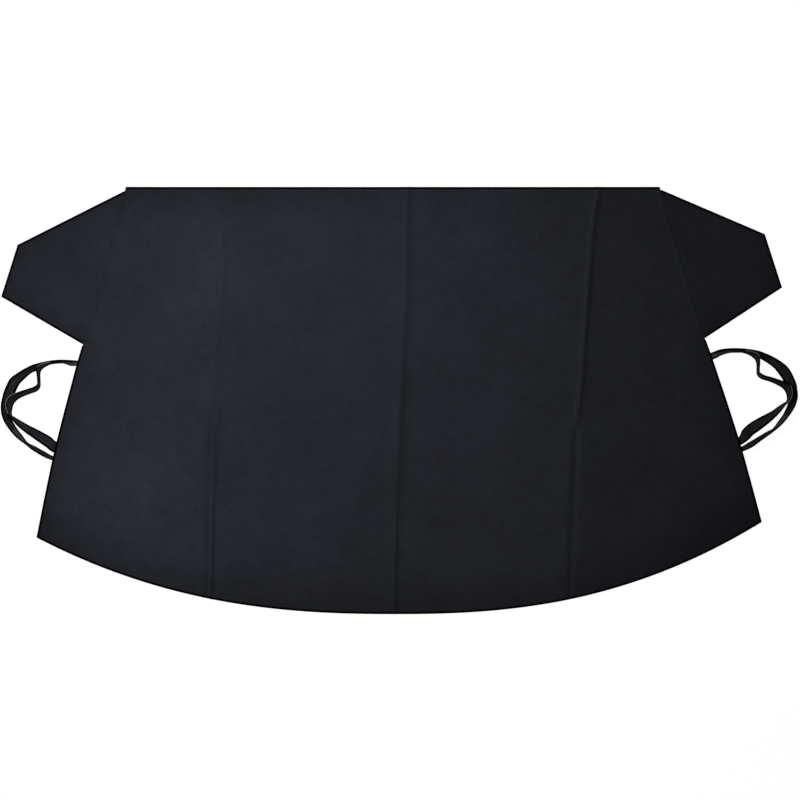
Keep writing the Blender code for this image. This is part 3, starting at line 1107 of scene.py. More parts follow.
@dataclass
class MainPanel:
    """The cloth panel that covers the glass."""

    shape: CoverShape
    spacing: float = 0.008
    edge_marks: tuple[float, ...] = (
        0.0, 0.0025, 0.005, 0.0075, 0.0105, 0.014, 0.020, 0.027, 0.036, 0.048
    )
    end_marks: tuple[float, ...] = (0.0, 0.004, 0.009, 0.014, 0.020, 0.027)
    fold_marks: tuple[float, ...] = (0.0015, 0.0035, 0.006, 0.009, 0.012, 0.015, 0.019)

    def side_marks(self, hand: Hand) -> list[float]:
        """Return the heights of the mesh rows at one side, from the roof edge down."""
        corner_y = self.shape.sides[hand].hem_corner[1]
        length = self.shape.roof_y - corner_y
        return [self.shape.roof_y - mark for mark in spaced(length, self.spacing, self.end_marks)]

    def columns(self, left_y: float, right_y: float, counts: list[int] | None) -> list[float]:
        """Place the mesh columns along a row.

        Args:
            left_y: The row's height at the left side.
            right_y: The row's height at the right side.
            counts: How many even columns lie in each gap, or None to choose them.

        Returns:
            The x of every column.
        """
        left = self.shape.side_x(Hand.LEFT, left_y)
        right = self.shape.side_x(Hand.RIGHT, right_y)
        offsets = [-mark for mark in reversed(self.fold_marks)] + [0.0, *self.fold_marks]
        stops = [[left + mark for mark in self.edge_marks]]
        for fold in self.shape.folds:
            share = (fold.line[0][0] - left) / (right - left)
            crest = fold.crest_x(mix(left_y, right_y, share))
            stops.append([crest + offset for offset in offsets])
        stops.append([right - mark for mark in reversed(self.edge_marks)])
        xs = list(stops[0])
        for gap, (before, after) in enumerate(zip(stops, stops[1:])):
            count = counts[gap] if counts else self.gap_count(before[-1], after[0])
            xs += [mix(before[-1], after[0], i / (count + 1)) for i in range(1, count + 1)]
            xs += after
        return xs

    def gap_count(self, start: float, end: float) -> int:
        """Return how many even columns a gap takes."""
        return max(1, round((end - start) / self.spacing) - 1)

    def build(self, finish: bpy.types.Material) -> bpy.types.Object:
        """Make the panel.

        Args:
            finish: The cloth's material.

        Returns:
            The panel's object.
        """
        sides = [self.side_marks(hand) for hand in Hand]
        count = min(len(side) for side in sides)
        left_rows, right_rows = (self.even_rows(side, count) for side in sides)
        low_y = (left_rows[-1], right_rows[-1])
        reach = self.fold_marks[-1]
        crests = [self.shape.side_x(Hand.LEFT, low_y[0]) + self.edge_marks[-1]]
        counts = []
        for fold in self.shape.folds:
            crest = fold.crest_x(low_y[0])
            counts.append(self.gap_count(crests[-1], crest - reach))
            crests.append(crest + reach)
        right = self.shape.side_x(Hand.RIGHT, low_y[1]) - self.edge_marks[-1]
        counts.append(self.gap_count(crests[-1], right))
        rows = [self.columns(a, b, counts) for a, b in zip(left_rows, right_rows)]
        hem_xs = rows[-1]
        roof_y = self.shape.roof_y
        last = len(hem_xs) - 1

        def place(column: int, row: int) -> Vector:
            """Return a crossing on the cloth's underside."""
            drop_left = (roof_y - left_rows[row]) / (roof_y - left_rows[-1])
            drop_right = (roof_y - right_rows[row]) / (roof_y - right_rows[-1])
            drop = mix(drop_left, drop_right, column / last)
            y = mix(roof_y, self.shape.hem_y(hem_xs[column]), drop)
            x = rows[row][column]
            return Vector((x, y, self.shape.underside(x, y)))

        def tone(column: int, row: int) -> float:
            """Return the painted light and shade of the cloth at a crossing."""
            spot = place(column, row)
            return self.shape.tone(spot.x, spot.y)

        def press(column: int, row: int) -> float:
            """Return the share of its thickness that the cloth keeps at a crossing."""
            spot = place(column, row)
            return self.shape.press(spot.x, spot.y)

        piece = GridPiece(
            name="panel_cloth",
            along=hem_xs,
            across=left_rows,
            place=place,
            thickness=CLOTH_THICKNESS,
            offset=1.0,
            tone=tone,
            press=press,
        ).build(finish)
        return dress(piece, Slot.CLOTH, ["main_panel"])

    @staticmethod
    def even_rows(rows: list[float], count: int) -> list[float]:
        """Return the rows read again at a given count."""
        picked = []
        for i in range(count):
            place = i * (len(rows) - 1) / (count - 1)
            low = min(int(place), len(rows) - 2)
            picked.append(mix(rows[low], rows[low + 1], place - low))
        return picked


@dataclass
class Wing:
    """A flap of the same cloth, lapped under the panel's side."""

    shape: CoverShape
    hand: Hand
    lap: float = 0.008
    spacing: float = 0.009
    edge_marks: tuple[float, ...] = (0.0, 0.003, 0.006, 0.010, 0.015, 0.022, 0.030)
    edge_flat: float = 0.007
    edge_reach: float = 0.030
    # painted shade of each whole wing, darker on the right
    level: dict[Hand, float] = field(default_factory=lambda: {Hand.LEFT: 0.89, Hand.RIGHT: 0.66})
    # painted shade towards the wing's free edges
    edge_loss: float = 0.20
    edge_fade: float = 0.055
    wave_height: float = 0.0004
    wave_turn: float = 21.0
    wave_margin: float = 0.02
    wave_fade: float = 0.05
    tape_gap: float = 0.0012

    @property
    def word(self) -> str:
        """Return the side's name."""
        return self.hand.name.lower()

    def corners(self) -> tuple[Vector, Vector, Vector, Vector]:
        """Return the seam's top, the armpit, the shoulder and the tip."""
        side = self.shape.sides[self.hand]
        start = self.shape.seam_start(self.hand)
        return start, Vector(side.armpit), Vector(side.shoulder), Vector(side.wing_tip)

    def underside(self, inset: float, along: float) -> float:
        """Return the height of the wing's underside.

        Args:
            inset: The distance to the nearest edge or the seam.
            along: A distance along the wing, which its slow waves read.

        Returns:
            The height.
        """
        down = ease((inset - self.edge_flat) / (self.edge_reach - self.edge_flat))
        wave = 1.0 + math.sin(self.wave_turn * along + self.hand.value)
        wave *= self.wave_height * ease((inset - self.wave_margin) / self.wave_fade)
        return mix(TAPE_LIFT, wave, down)

    def build(self, finish: bpy.types.Material) -> bpy.types.Object:
        """Make the wing.

        Args:
            finish: The cloth's material.

        Returns:
            The wing's object.
        """
        start, armpit, shoulder, tip = self.corners()
        lap = self.shape.inward_normal(self.hand) * self.lap
        width, height = (shoulder - start).length, (armpit - start).length
        across = [-self.lap] + spaced(width, self.spacing, self.edge_marks)
        down = spaced(height, self.spacing, self.edge_marks)
        if self.hand is Hand.LEFT:
            across.reverse()

        def inset(column: int, row: int) -> float:
            """Return the distance from a crossing to the nearest edge or the seam."""
            out, low = across[column], down[row]
            return max(0.0, min(out, width - out, low, height - low))

        def place(column: int, row: int) -> Vector:
            """Return a crossing on the cloth's underside."""
            out, low = across[column], down[row]
            share = max(0.0, out) / width
            spot = start.lerp(shoulder, share).lerp(armpit.lerp(tip, share), low / height)
            if out < 0.0:
                spot = spot + lap
            return Vector((spot.x, spot.y, self.underside(inset(column, row), out + low)))

        def tone(column: int, row: int) -> float:
            """Return the painted light and shade of the cloth at a crossing."""
            out, low = across[column], down[row]
            free = max(0.0, min(width - out, low, height - low))
            loss = self.edge_loss * (1.0 - ease(free / self.edge_fade))
            shade = self.level[self.hand] * (1.0 - loss)
            shade *= self.shape.sides[self.hand].seam_light(-max(0.0, out))
            spot = place(column, row)
            for patch in self.shape.light_patches:
                shade *= patch.tone(spot.x, spot.y)
            return shade

        piece = GridPiece(
            name=self.word + "_wing_cloth",
            along=across,
            across=down,
            place=place,
            thickness=CLOTH_THICKNESS,
            offset=1.0,
            tone=tone,
        ).build(finish)
        return dress(piece, Slot.CLOTH, [self.word + "_wing"])

    def tape(self) -> "EdgeTape":
        """Return the tape round the wing's three free edges."""
        start, armpit, shoulder, tip = self.corners()
        inward = self.shape.inward_normal(self.hand)
        top = (shoulder - start).normalized()
        low = (tip - armpit).normalized()
        first = start - top * (self.tape_gap / top.dot(inward))
        last = armpit - low * (self.tape_gap / low.dot(inward))
        corners = [first, shoulder, tip, last]
        cuts = [armpit - start, start - armpit]
        if self.hand is Hand.RIGHT:
            corners.reverse()
            cuts.reverse()
        return EdgeTape(
            name=self.word + "_wing_tape",
            corners=corners,
            height=lambda x, y: TAPE_LIFT,
            start_cut=cuts[0],
            end_cut=cuts[1],
        )


@dataclass
class EdgeTape:
    """A binding tape folded over a cloth edge, with the cloth to the left of its line."""

    name: str
    corners: list[Vector]
    height: Callable[[float, float], float]
    start_cut: Vector | None = None
    end_cut: Vector | None = None
    leg: float = 0.0042
    corner_radius: float = 0.0005
    step: float = 0.008
    stitch_inset: float = 0.0031
    least_inset: float = 0.0002
    leg_shares: tuple[float, ...] = (1.0, 0.66, 0.33)
    turns: tuple[float, ...] = (0.0, 30.0, 60.0, 90.0)

    def line(self) -> list[Vector]:
        """Return the edge with even steps between its corners."""
        points = [self.corners[0]]
        for before, after in zip(self.corners, self.corners[1:]):
            marks = between(0.0, (after - before).length, self.step)
            share = [mark / (after - before).length for mark in marks]
            points += [before.lerp(after, t) for t in share] + [after]
        return points

    def section(self) -> list[Plan]:
        """Return the tape's section as insets and heights, from the lower leg to the upper."""
        off = CLEARANCE + TAPE_THICKNESS / 2.0
        top = CLOTH_THICKNESS + off
        radius = self.corner_radius
        points = [(self.leg * share, -off) for share in self.leg_shares]
        for centre, first in ((-off + radius, 270.0), (top - radius, 180.0)):
            for turn in self.turns:
                angle = math.radians(first - turn)
                x = -off + radius + radius * math.cos(angle)
                points.append((x, centre + radius * math.sin(angle)))
        return points + [(self.leg * share, top) for share in reversed(self.leg_shares)]

    def inward(self, line: Sequence[Vector], index: int) -> Vector:
        """Return the level vector that shifts the line's point one unit into the cloth."""
        normals = []
        for before, after in ((index - 1, index), (index, index + 1)):
            if 0 <= before and after < len(line):
                along = (line[after] - line[before]).normalized()
                normals.append(Vector((-along.y, along.x)))
        if len(normals) == 2:
            return (normals[0] + normals[1]) / (1.0 + normals[0].dot(normals[1]))
        cut = self.start_cut if index == 0 else self.end_cut
        if cut is None:
            return normals[0]
        return cut / cut.dot(normals[0])

    def point(self, line: Sequence[Vector], index: int, inset: float, rise: float) -> Vector:
        """Return a place on the tape.

        Args:
            line: The edge's points.
            index: Which of them.
            inset: How far into the cloth.
            rise: How far above the cloth's underside.

        Returns:
            The place.
        """
        inward = self.inward(line, index)
        spot = line[index] + inward * inset
        over = line[index] + inward * max(self.least_inset, inset)
        return Vector((spot.x, spot.y, self.height(over.x, over.y) + rise))

    def build(self, finish: bpy.types.Material) -> bpy.types.Object:
        """Make the tape.

        Args:
            finish: The tape's material.

        Returns:
            The tape's object.
        """
        line, section = self.line(), self.section()
        girth = [0.0]
        for before, after in zip(section, section[1:]):
            girth.append(girth[-1] + math.dist(before, after))

        def place(column: int, row: int) -> Vector:
            """Return a crossing of the tape's middle surface."""
            return self.point(line, column, *section[row])

        piece = GridPiece(
            name=self.name + "_fold",
            along=run_lengths(line),
            across=girth,
            place=place,
            thickness=TAPE_THICKNESS,
        ).build(finish)
        return dress(piece, Slot.TAPE, [self.name])

    def stitch_line(self) -> list[Vector]:
        """Return the line of the stitches on the tape's upper face."""
        line = self.line()
        top = CLOTH_THICKNESS + CLEARANCE + TAPE_THICKNESS
        return [self.point(line, i, self.stitch_inset, top) for i in range(len(line))]


@dataclass
class StitchRows:
    """Rows of lockstitch, each stitch a small spindle of thread."""

    name: str
    lines: list[list[Vector]]
    length: float = 0.0027
    pitch: float = 0.0035
    width: float = 0.00050
    height: float = 0.00036

    def spindle(self) -> bpy.types.Mesh:
        """Return the mesh of one stitch, lying along X."""
        shape = bmesh.new()
        size = (self.length / 2.0, self.width / 2.0, self.height / 2.0)
        matrix = Matrix.Diagonal((*size, 1.0)) @ Matrix.Rotation(math.radians(90.0), 4, "Y")
        bmesh.ops.create_uvsphere(shape, u_segments=6, v_segments=5, radius=1.0, matrix=matrix)
        for face in shape.faces:
            face.smooth = True
        return closed_mesh(self.name + "_spindle", shape)

    def places(self) -> list[Matrix]:
        """Return the place and the turn of every stitch."""
        found = []
        for line in self.lines:
            lengths = run_lengths(line)
            count = int(lengths[-1] / self.pitch)
            spot = 0
            for i in range(count):
                mark = (i + 0.5) * lengths[-1] / count
                while lengths[spot + 1] < mark:
                    spot += 1
                before, after = line[spot], line[spot + 1]
                share = (mark - lengths[spot]) / (lengths[spot + 1] - lengths[spot])
                turn = (after - before).to_track_quat("X", "Z").to_matrix().to_4x4()
                found.append(Matrix.Translation(before.lerp(after, share)) @ turn)
        return found

    def build(self, finish: bpy.types.Material) -> bpy.types.Object:
        """Make all the rows as one piece.

        Args:
            finish: The thread's material.

        Returns:
            The stitches' object.
        """
        spindle = self.spindle()
        shape = bmesh.new()
        for place in self.places():
            spindle.transform(place)
            shape.from_mesh(spindle)
            spindle.transform(place.inverted())
        mesh = closed_mesh(self.name, shape, finish)
        bpy.data.meshes.remove(spindle)
        return dress(stood_in_scene(self.name, mesh), Slot.TAPE)


@dataclass
class Cover:
    """The whole cover: panel, wings, tapes, stitches and bands."""

    shape: CoverShape
    bands: tuple[ElasticBand, ...]
    spacing: float = 0.008
    hem_step: float = 0.02  # longer than the spacing, so the hem's points stay as given
    seam_stitch_inset: float = 0.0045
    seam_stitch_ends: Span = (0.004, 0.001)

    def roof_tape(self) -> EdgeTape:
        """Return the tape along the roof edge."""
        left, right = self.shape.sides[Hand.LEFT], self.shape.sides[Hand.RIGHT]
        y = self.shape.roof_y
        ends = [Vector((right.roof_corner_x, y)), Vector((left.roof_corner_x, y))]
        seams = [Vector(side.armpit) - end for side, end in zip((right, left), ends)]
        return EdgeTape("roof_edge_tape", ends, self.shape.underside, seams[0], seams[1])

    def hem_tape(self) -> EdgeTape:
        """Return the tape down a side, round the hem and up the other side."""
        shape = self.shape
        sides = []
        for hand in Hand:
            side = shape.sides[hand]
            top = side.armpit[1] - shape.armpit_clear
            low = side.hem_corner[1]
            ys = [top, *between(top, low, self.spacing), low]
            sides.append([Vector((shape.side_x(hand, y), y)) for y in ys])
        left_x, right_x = sides[0][-1].x, sides[1][-1].x
        hem = [Vector((x, shape.hem_y(x))) for x in between(left_x, right_x, self.spacing)]
        corners = sides[0] + hem + sides[1][::-1]
        return EdgeTape("hem_tape", corners, shape.underside, step=self.hem_step)

    def seam_line(self, hand: Hand) -> list[Vector]:
        """Return the line of the topstitch beside a wing's seam."""
        shape = self.shape
        side = shape.sides[hand]
        inward = shape.inward_normal(hand) * self.seam_stitch_inset
        before, after = self.seam_stitch_ends
        ys = between(shape.roof_y - before, side.armpit[1] + after, self.spacing)
        points = []
        for y in ys:
            spot = Vector((shape.side_x(hand, y), y)) + inward
            rise = CLOTH_THICKNESS + shape.underside(spot.x, spot.y)
            points.append(Vector((spot.x, spot.y, rise)))
        return points

    def build(self) -> None:
        for band in self.bands:
            band.build()
        cloth, tape, thread = ClothFinish().make(), TapeFinish().make(), ThreadFinish().make()
        panel = MainPanel(self.shape).build(cloth)
        edges = [self.roof_tape(), self.hem_tape()]
        with_panel = [edge.build(tape) for edge in edges]
        rows = [edge.stitch_line() for edge in edges] + [self.seam_line(hand) for hand in Hand]
        with_panel.append(StitchRows("panel_stitches", rows).build(thread))
        for hand, flat, area in (
            (Hand.LEFT, (0.279, 0.338), 0.0487),
            (Hand.RIGHT, (0.275, 0.328), 0.0472),
        ):
            wing = Wing(self.shape, hand)
            piece = wing.build(cloth)
            edge = wing.tape()
            fold = edge.build(tape)
            stitches = StitchRows(wing.word + "_wing_stitches", [edge.stitch_line()]).build(thread)


@dataclass
class Studio:
    """A pale floor, a soft lamp above the cover's upper left, and a camera straight above."""

    middle: Plan = (0.01837, 0.00121)
    view_width: float = 1.76
    camera_height: float = 6.0
    camera_reach: float = 100.0
    sensor: float = 36.0
    lamp_at: tuple[float, float, float] = (-0.43, 0.32, 1.34)
    lamp_size: float = 0.45
    lamp_power: float = 17.0
    sky: float = 0.16
    floor_size: float = 14.0
    floor_colour: Colour = (0.86, 0.86, 0.86)
    floor_drop: float = 0.0003
    floor_grain: float = 0.4
    floor_shade: float = 0.985
    floor_glow: float = 0.92
    glow_strength: float = 1.055

    def camera(self) -> None:
        """Put the camera straight above the photographed middle."""
        data = bpy.data.cameras.new("camera")
        data.sensor_width = self.sensor
        data.lens = self.sensor * self.camera_height / self.view_width
        data.clip_end = self.camera_reach
        camera = stood_in_scene("camera", data)
        camera.location = (*self.middle, self.camera_height)
        bpy.context.scene.camera = camera

    def lamp(self) -> None:
        """Hang the soft lamp and aim it at the cover's middle."""
        data = bpy.data.lights.new("softbox", "AREA")
        data.shape = "DISK"
        data.size = self.lamp_size
        data.energy = self.lamp_power
        lamp = stood_in_scene("softbox", data)
        lamp.location = self.lamp_at
        aim = -Vector(self.lamp_at)
        lamp.rotation_mode = "QUATERNION"
        lamp.rotation_quaternion = aim.to_track_quat("-Z", "Y")
        lamp.visible_camera = False

    def floor(self) -> None:
        """Lay the floor, white to the eye and still holding the cover's shadow."""
        sheet = MaterialSheet("studio_floor", self.floor_colour)
        grain = sheet.noise(sheet.point(), self.floor_grain, detail=2.0)
        dull = tuple(self.floor_shade * value for value in self.floor_colour)
        colour = sheet.blend(grain, self.floor_colour, dull)
        matt = sheet.node("ShaderNodeBsdfDiffuse", inputs={"Color": colour})
        white = {"Color": WHITE, "Strength": self.glow_strength}
        glow = sheet.node("ShaderNodeEmission", inputs=white)
        both = {0: sheet.seen() * self.floor_glow, 1: matt.outputs[0], 2: glow.outputs[0]}
        shader = sheet.node("ShaderNodeMixShader", inputs=both)
        sheet.node("ShaderNodeOutputMaterial", inputs={"Surface": shader.outputs[0]})
        shape = bmesh.new()
        down = Matrix.Translation((0.0, 0.0, -self.floor_drop))
        half = self.floor_size / 2.0
        bmesh.ops.create_grid(shape, x_segments=1, y_segments=1, size=half, matrix=down)
        floor = stood_in_scene("floor", closed_mesh("floor", shape, sheet.material))

    def world(self) -> None:
        """Light the scene evenly from all round, white where it is seen directly."""
        world = bpy.data.worlds.new("studio")
        world.use_nodes = True
        sheet = NodeSheet(world.node_tree)
        strength = self.sky + (1.0 - self.sky) * sheet.seen()
        white = {"Color": WHITE, "Strength": strength}
        back = sheet.node("ShaderNodeBackground", inputs=white)
        sheet.node("ShaderNodeOutputWorld", inputs={"Surface": back.outputs[0]})
        bpy.context.scene.world = world

    def build(self) -> None:
        """Set the whole studio."""
        bpy.context.scene.view_settings.view_transform = "Standard"
        self.camera()
        self.lamp()
        self.floor()
        self.world()


LEFT_OUTER_BAND: tuple[Station, ...] = (
    Station((-0.6724, 0.0705), (-0.6691, 0.0826), gather=0.50),
    Station((-0.6947, 0.0760), (-0.6914, 0.0881), gather=0.50),
    Station((-0.7010, 0.0777), (-0.7003, 0.0885), gather=0.56),
    Station((-0.7076, 0.0793), (-0.7076, 0.0888), gather=0.80),
    Station((-0.7252, 0.0844), (-0.7252, 0.0890)),
    Station((-0.7494, 0.0822), (-0.7490, 0.0870)),
    Station((-0.7648, 0.0760), (-0.7670, 0.0835)),
    Station((-0.7794, 0.0668), (-0.7857, 0.0787)),
    Station((-0.7923, 0.0608), (-0.8011, 0.0716)),
    Station((-0.8069, 0.0483), (-0.8209, 0.0602)),
    Station((-0.8181, 0.0366), (-0.8374, 0.0487)),
    Station((-0.8242, 0.0250), (-0.8480, 0.0316)),
    Station((-0.8308, 0.0089), (-0.8555, 0.0100)),
    Station((-0.8366, -0.0087), (-0.8581, -0.0105)),
    Station((-0.8383, -0.0241), (-0.8564, -0.0274)),
    Station((-0.8352, -0.0406), (-0.8500, -0.0454)),
    Station((-0.8229, -0.0635), (-0.8326, -0.0701)),
    Station((-0.8117, -0.0780), (-0.8190, -0.0837)),
    Station((-0.7998, -0.0932), (-0.8020, -0.0960)),
    Station((-0.7842, -0.1009), (-0.7882, -0.1075)),
    Station((-0.7648, -0.1117), (-0.7688, -0.1196)),
    Station((-0.7452, -0.1216), (-0.7478, -0.1313), gather=0.40),
    Station((-0.7259, -0.1257), (-0.7288, -0.1354), gather=0.40),
)
LEFT_INNER_BAND: tuple[Station, ...] = (
    Station((-0.6724, 0.0705), (-0.6691, 0.0826), 0.0018, 0.50),
    Station((-0.6947, 0.0760), (-0.6914, 0.0881), 0.0024, 0.50),
    Station((-0.7010, 0.0760), (-0.7003, 0.0868), 0.0022, 0.56),
    Station((-0.7076, 0.0770), (-0.7076, 0.0865), 0.0013, 0.80),
    Station((-0.7252, 0.0822), (-0.7252, 0.0868), 0.0004),
    Station((-0.7494, 0.0798), (-0.7490, 0.0846), 0.0004),
    Station((-0.7587, 0.0758), (-0.7604, 0.0820), 0.0003),
    Station((-0.7670, 0.0703), (-0.7723, 0.0776), 0.0003),
    Station((-0.7717, 0.0646), (-0.7796, 0.0690), 0.0003),
    Station((-0.7732, 0.0551), (-0.7774, 0.0578)),
    Station((-0.7725, 0.0358), (-0.7758, 0.0375)),
    Station((-0.7739, 0.0278), (-0.7794, 0.0329)),
    Station((-0.7802, 0.0208), (-0.7851, 0.0296)),
    Station((-0.7945, 0.0153), (-0.7983, 0.0252)),
    Station((-0.8132, 0.0078), (-0.8185, 0.0186)),
    Station((-0.8242, 0.0008), (-0.8344, 0.0118)),
    Station((-0.8311, -0.0076), (-0.8443, 0.0021), 0.0006),
    Station((-0.8341, -0.0177), (-0.8467, -0.0111), 0.0012),
    Station((-0.8355, -0.0265), (-0.8427, -0.0237), 0.0020),
    Station((-0.8344, -0.0331), (-0.8366, -0.0347), 0.0020),
    Station((-0.8278, -0.0375), (-0.8313, -0.0410), 0.0010),
    Station((-0.8165, -0.0441), (-0.8229, -0.0525)),
    Station((-0.8003, -0.0534), (-0.8093, -0.0652)),
    Station((-0.7809, -0.0630), (-0.7912, -0.0791)),
    Station((-0.7615, -0.0732), (-0.7732, -0.0925)),
    Station((-0.7486, -0.0809), (-0.7607, -0.1015)),
    Station((-0.7378, -0.0902), (-0.7440, -0.1144), gather=0.98),
    Station((-0.7177, -0.0945), (-0.7250, -0.1185), gather=0.98),
)
RIGHT_OUTER_BAND: tuple[Station, ...] = (
    Station((0.6889, 0.0844), (0.6845, 0.0995), gather=0.62),
    Station((0.7071, 0.0902), (0.7023, 0.1052), gather=0.62),
    Station((0.7150, 0.0960), (0.7118, 0.1090), gather=0.67),
    Station((0.7230, 0.1011), (0.7213, 0.1121), gather=0.85),
    Station((0.7477, 0.1077), (0.7466, 0.1145)),
    Station((0.7686, 0.1081), (0.7690, 0.1139)),
    Station((0.7851, 0.1051), (0.7868, 0.1119)),
    Station((0.8005, 0.0982), (0.8049, 0.1086)),
    Station((0.8121, 0.0916), (0.8192, 0.1035)),
    Station((0.8247, 0.0839), (0.8324, 0.0980)),
    Station((0.8390, 0.0734), (0.8528, 0.0866)),
    Station((0.8509, 0.0593), (0.8711, 0.0734)),
    Station((0.8599, 0.0457), (0.8830, 0.0531)),
    Station((0.8676, 0.0298), (0.8900, 0.0320)),
    Station((0.8729, 0.0122), (0.8911, 0.0113)),
    Station((0.8724, -0.0032), (0.8872, -0.0063)),
    Station((0.8674, -0.0181), (0.8786, -0.0228)),
    Station((0.8608, -0.0314), (0.8687, -0.0366)),
    Station((0.8500, -0.0463), (0.8559, -0.0516)),
    Station((0.8381, -0.0622), (0.8407, -0.0648)),
    Station((0.8240, -0.0694), (0.8273, -0.0751)),
    Station((0.8060, -0.0802), (0.8104, -0.0872)),
    Station((0.7879, -0.0908), (0.7928, -0.1004)),
    Station((0.7697, -0.1010), (0.7732, -0.1121), gather=0.46),
    Station((0.7505, -0.1070), (0.7536, -0.1183), gather=0.46),
)
RIGHT_INNER_BAND: tuple[Station, ...] = (
    Station((0.6889, 0.0844), (0.6845, 0.0995), 0.0018, 0.62),
    Station((0.7071, 0.0902), (0.7023, 0.1052), 0.0024, 0.62),
    Station((0.7154, 0.0943), (0.7122, 0.1073), 0.0022, 0.67),
    Station((0.7233, 0.0989), (0.7216, 0.1099), 0.0014, 0.85),
    Station((0.7477, 0.1055), (0.7468, 0.1123), 0.0004),
    Station((0.7675, 0.1057), (0.7684, 0.1114), 0.0004),
    Station((0.7809, 0.1024), (0.7831, 0.1088), 0.0003),
    Station((0.7919, 0.0967), (0.7985, 0.1051), 0.0003),
    Station((0.7992, 0.0901), (0.8073, 0.0949), 0.0003),
    Station((0.8024, 0.0822), (0.8073, 0.0844)),
    Station((0.8031, 0.0707), (0.8062, 0.0712)),
    Station((0.8029, 0.0615), (0.8060, 0.0637)),
    Station((0.8058, 0.0536), (0.8102, 0.0591)),
    Station((0.8139, 0.0474), (0.8179, 0.0551)),
    Station((0.8317, 0.0417), (0.8352, 0.0503)),
    Station((0.8480, 0.0344), (0.8542, 0.0439)),
    Station((0.8583, 0.0283), (0.8671, 0.0388)),
    Station((0.8654, 0.0201), (0.8768, 0.0298), 0.0006),
    Station((0.8689, 0.0109), (0.8786, 0.0175), 0.0012),
    Station((0.8696, 0.0039), (0.8757, 0.0065), 0.0020),
    Station((0.8676, -0.0019), (0.8696, -0.0039), 0.0020),
    Station((0.8614, -0.0061), (0.8636, -0.0098), 0.0010),
    Station((0.8535, -0.0109), (0.8566, -0.0195)),
    Station((0.8370, -0.0228), (0.8438, -0.0340)),
    Station((0.8139, -0.0347), (0.8266, -0.0507)),
    Station((0.7952, -0.0448), (0.8108, -0.0648)),
    Station((0.7796, -0.0560), (0.7954, -0.0758)),
    Station((0.7699, -0.0670), (0.7831, -0.0877)),
    Station((0.7640, -0.0798), (0.7690, -0.0974), gather=0.72),
    Station((0.7472, -0.0850), (0.7523, -0.1026), gather=0.72),
)
SIDES = {
    Hand.LEFT: SideCut(
        roof_corner_x=-0.5844,
        wing_drop=0.0086,
        shoulder=(-0.8218, 0.3420),
        wing_tip=(-0.8578, 0.2287),
        armpit=(-0.6788, 0.1242),
        hem_corner=(-0.7802, -0.3008),
        bulge=0.006,
        bands=(LEFT_OUTER_BAND, LEFT_INNER_BAND),
        seam_light_marks=((0.0, 0.003, 0.12), (0.005, 0.003, -0.10), (0.011, 0.003, -0.08)),
    ),
    Hand.RIGHT: SideCut(
        roof_corner_x=0.5893,
        wing_drop=0.0055,
        shoulder=(0.8200, 0.3655),
        wing_tip=(0.8578, 0.2489),
        armpit=(0.6883, 0.1376),
        hem_corner=(0.8132, -0.2668),
        bulge=0.006,
        bands=(RIGHT_OUTER_BAND, RIGHT_INNER_BAND),
        seam_light_marks=((0.0, 0.003, 0.42), (0.0085, 0.0035, 0.26)),
    ),
}

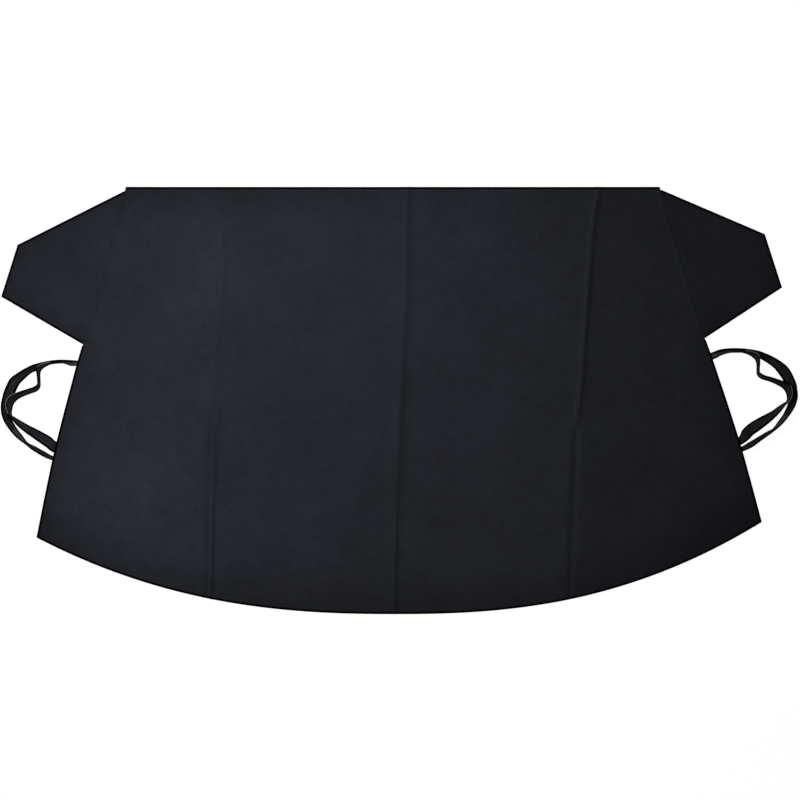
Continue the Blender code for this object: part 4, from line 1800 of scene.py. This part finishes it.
FOLDS = (
    Fold(
        line=(
            (-0.373, 0.469),
            (-0.364, 0.310),
            (-0.373, 0.130),
            (-0.400, -0.090),
            (-0.406, -0.469),
        ),
        crests=(
            Crest(0.469, -0.0006, 0.012, 0.010, 0.0, 0.0009),
            Crest(0.270, -0.0012, 0.006, 0.006, 0.0, 0.0014),
            Crest(0.040, -0.0008, 0.008, 0.008, 0.003, 0.0014),
            Crest(-0.060, 0.0028, 0.012, 0.013, 0.004),
            Crest(-0.469, 0.0034, 0.011, 0.013, 0.004),
        ),
        loss=0.13,
        fade=0.034,
        crease_shades=(
            CreaseShade(
                (
                    (0.469, 0.0000, 0.0080, 0.05),
                    (0.331, 0.0000, 0.0100, 0.13),
                    (0.276, 0.0005, 0.0045, 0.17),
                    (0.199, 0.0010, 0.0045, 0.15),
                    (0.111, -0.0070, 0.0050, 0.09),
                    (0.023, 0.0020, 0.0060, 0.12),
                    (-0.060, -0.004, 0.0090, 0.20),
                    (-0.240, -0.005, 0.0090, 0.18),
                    (-0.373, -0.004, 0.0060, 0.22),
                    (-0.469, -0.005, 0.0060, 0.22),
                )
            ),
            CreaseShade(
                (
                    (0.469, 0.004, 0.006, 0.00),
                    (0.040, 0.010, 0.006, 0.04),
                    (-0.060, 0.0150, 0.0065, 0.18),
                    (-0.240, 0.0120, 0.0040, 0.30),
                    (-0.469, 0.0110, 0.0040, 0.30),
                )
            ),
        ),
        rounded=True,
    ),
    Fold(
        line=((0.038, 0.469), (0.035, 0.280), (0.029, 0.155), (0.012, -0.219), (0.007, -0.469)),
        crests=(
            Crest(0.469, 0.0024, 0.014, 0.016, -0.0020),
            Crest(0.155, 0.0030, 0.014, 0.020, -0.0015),
            Crest(-0.060, 0.0036, 0.013, 0.024, 0.0),
            Crest(-0.469, 0.0030, 0.012, 0.014, -0.0020),
        ),
        loss=0.03,
        fade=0.034,
        crease_shades=(
            CreaseShade(
                (
                    (0.469, 0.0000, 0.0024, 0.21),
                    (0.155, 0.0005, 0.004, 0.20),
                    (-0.060, 0.0010, 0.006, 0.28),
                    (-0.250, 0.0010, 0.004, 0.30),
                    (-0.469, 0.0010, 0.004, 0.28),
                )
            ),
            CreaseShade(
                (
                    (0.469, 0.0080, 0.008, 0.02),
                    (0.187, 0.0100, 0.009, 0.07),
                    (-0.077, 0.0120, 0.013, 0.15),
                    (-0.250, 0.0080, 0.010, 0.03),
                    (-0.469, 0.0080, 0.008, 0.00),
                )
            ),
        ),
        sharpness=1.9,
    ),
    Fold(
        line=((0.452, 0.469), (0.436, 0.360), (0.410, 0.001), (0.401, -0.065), (0.392, -0.469)),
        crests=(
            Crest(0.469, 0.0034, 0.014, 0.014, 0.0035),
            Crest(-0.030, 0.0038, 0.016, 0.014, 0.0045),
            Crest(-0.080, -0.0028, 0.014, 0.014, 0.0060, 0.0032),
            Crest(-0.469, -0.0028, 0.012, 0.017, -0.0010, 0.0030),
        ),
        loss=0.13,
        fade=0.016,
        crease_shades=(
            CreaseShade(
                (
                    (0.469, 0.0075, 0.0042, 0.16),
                    (0.300, 0.0090, 0.0050, 0.21),
                    (-0.030, 0.0080, 0.0045, 0.19),
                    (-0.080, -0.0015, 0.005, 0.28),
                    (-0.270, -0.0060, 0.005, 0.24),
                    (-0.469, -0.0060, 0.004, 0.20),
                )
            ),
            CreaseShade(
                (
                    (0.469, -0.0010, 0.003, -0.10),
                    (-0.030, -0.0010, 0.003, -0.10),
                    (-0.080, 0.0110, 0.005, -0.20),
                    (-0.285, 0.0095, 0.005, -0.18),
                    (-0.469, 0.0050, 0.004, -0.15),
                )
            ),
        ),
    ),
)
# Painted pools of light, and of painted shade where the gain is below zero.
LIGHT_PATCHES = (
    LightPatch((-0.590, -0.235), 0.165, 0.32),
    LightPatch((-0.200, -0.290), 0.160, 0.08),
    LightPatch((0.755, -0.296), 0.110, -0.24),
    LightPatch((0.850, 0.255), 0.060, -0.14),
    LightPatch((-0.700, 0.190), 0.070, 0.10),
    LightPatch((-0.320, 0.320), 0.180, 0.10),
    LightPatch((0.080, 0.320), 0.200, 0.12),
    LightPatch((-0.340, -0.290), 0.110, 0.10),
    LightPatch((-0.180, 0.060), 0.100, -0.08),
)


def elastic_bands() -> tuple[ElasticBand, ...]:
    """Return the four bands, with painted highlights and painted glare where they bend, twist and
    leave the cloth.
    """
    finishes = (
        ElasticFinish("left_outer_elastic", glare_spans=((0.010, 0.062), (0.286, 0.327))),
        ElasticFinish(
            "left_inner_elastic",
            highlight_spans=((0.078, 0.112), (0.195, 0.252)),
            glare_spans=((0.010, 0.064),),
        ),
        ElasticFinish("right_outer_elastic", glare_spans=((0.010, 0.066), (0.298, 0.336))),
        ElasticFinish(
            "right_inner_elastic",
            highlight_spans=((0.090, 0.128), (0.228, 0.290)),
            glare_spans=((0.010, 0.068),),
        ),
    )
    names = ("left_outer_band", "left_inner_band", "right_outer_band", "right_inner_band")
    plans = (LEFT_OUTER_BAND, LEFT_INNER_BAND, RIGHT_OUTER_BAND, RIGHT_INNER_BAND)
    return tuple(ElasticBand(*parts) for parts in zip(names, plans, finishes, strict=True))


def main() -> None:
    """Set the studio and make the cover."""
    logging.basicConfig(level=logging.INFO, format="%(name)s: %(message)s")
    Studio().build()
    Cover(CoverShape(SIDES, FOLDS, LIGHT_PATCHES), elastic_bands()).build()
    bpy.context.view_layer.update()


if __name__ == "__main__":
    main()
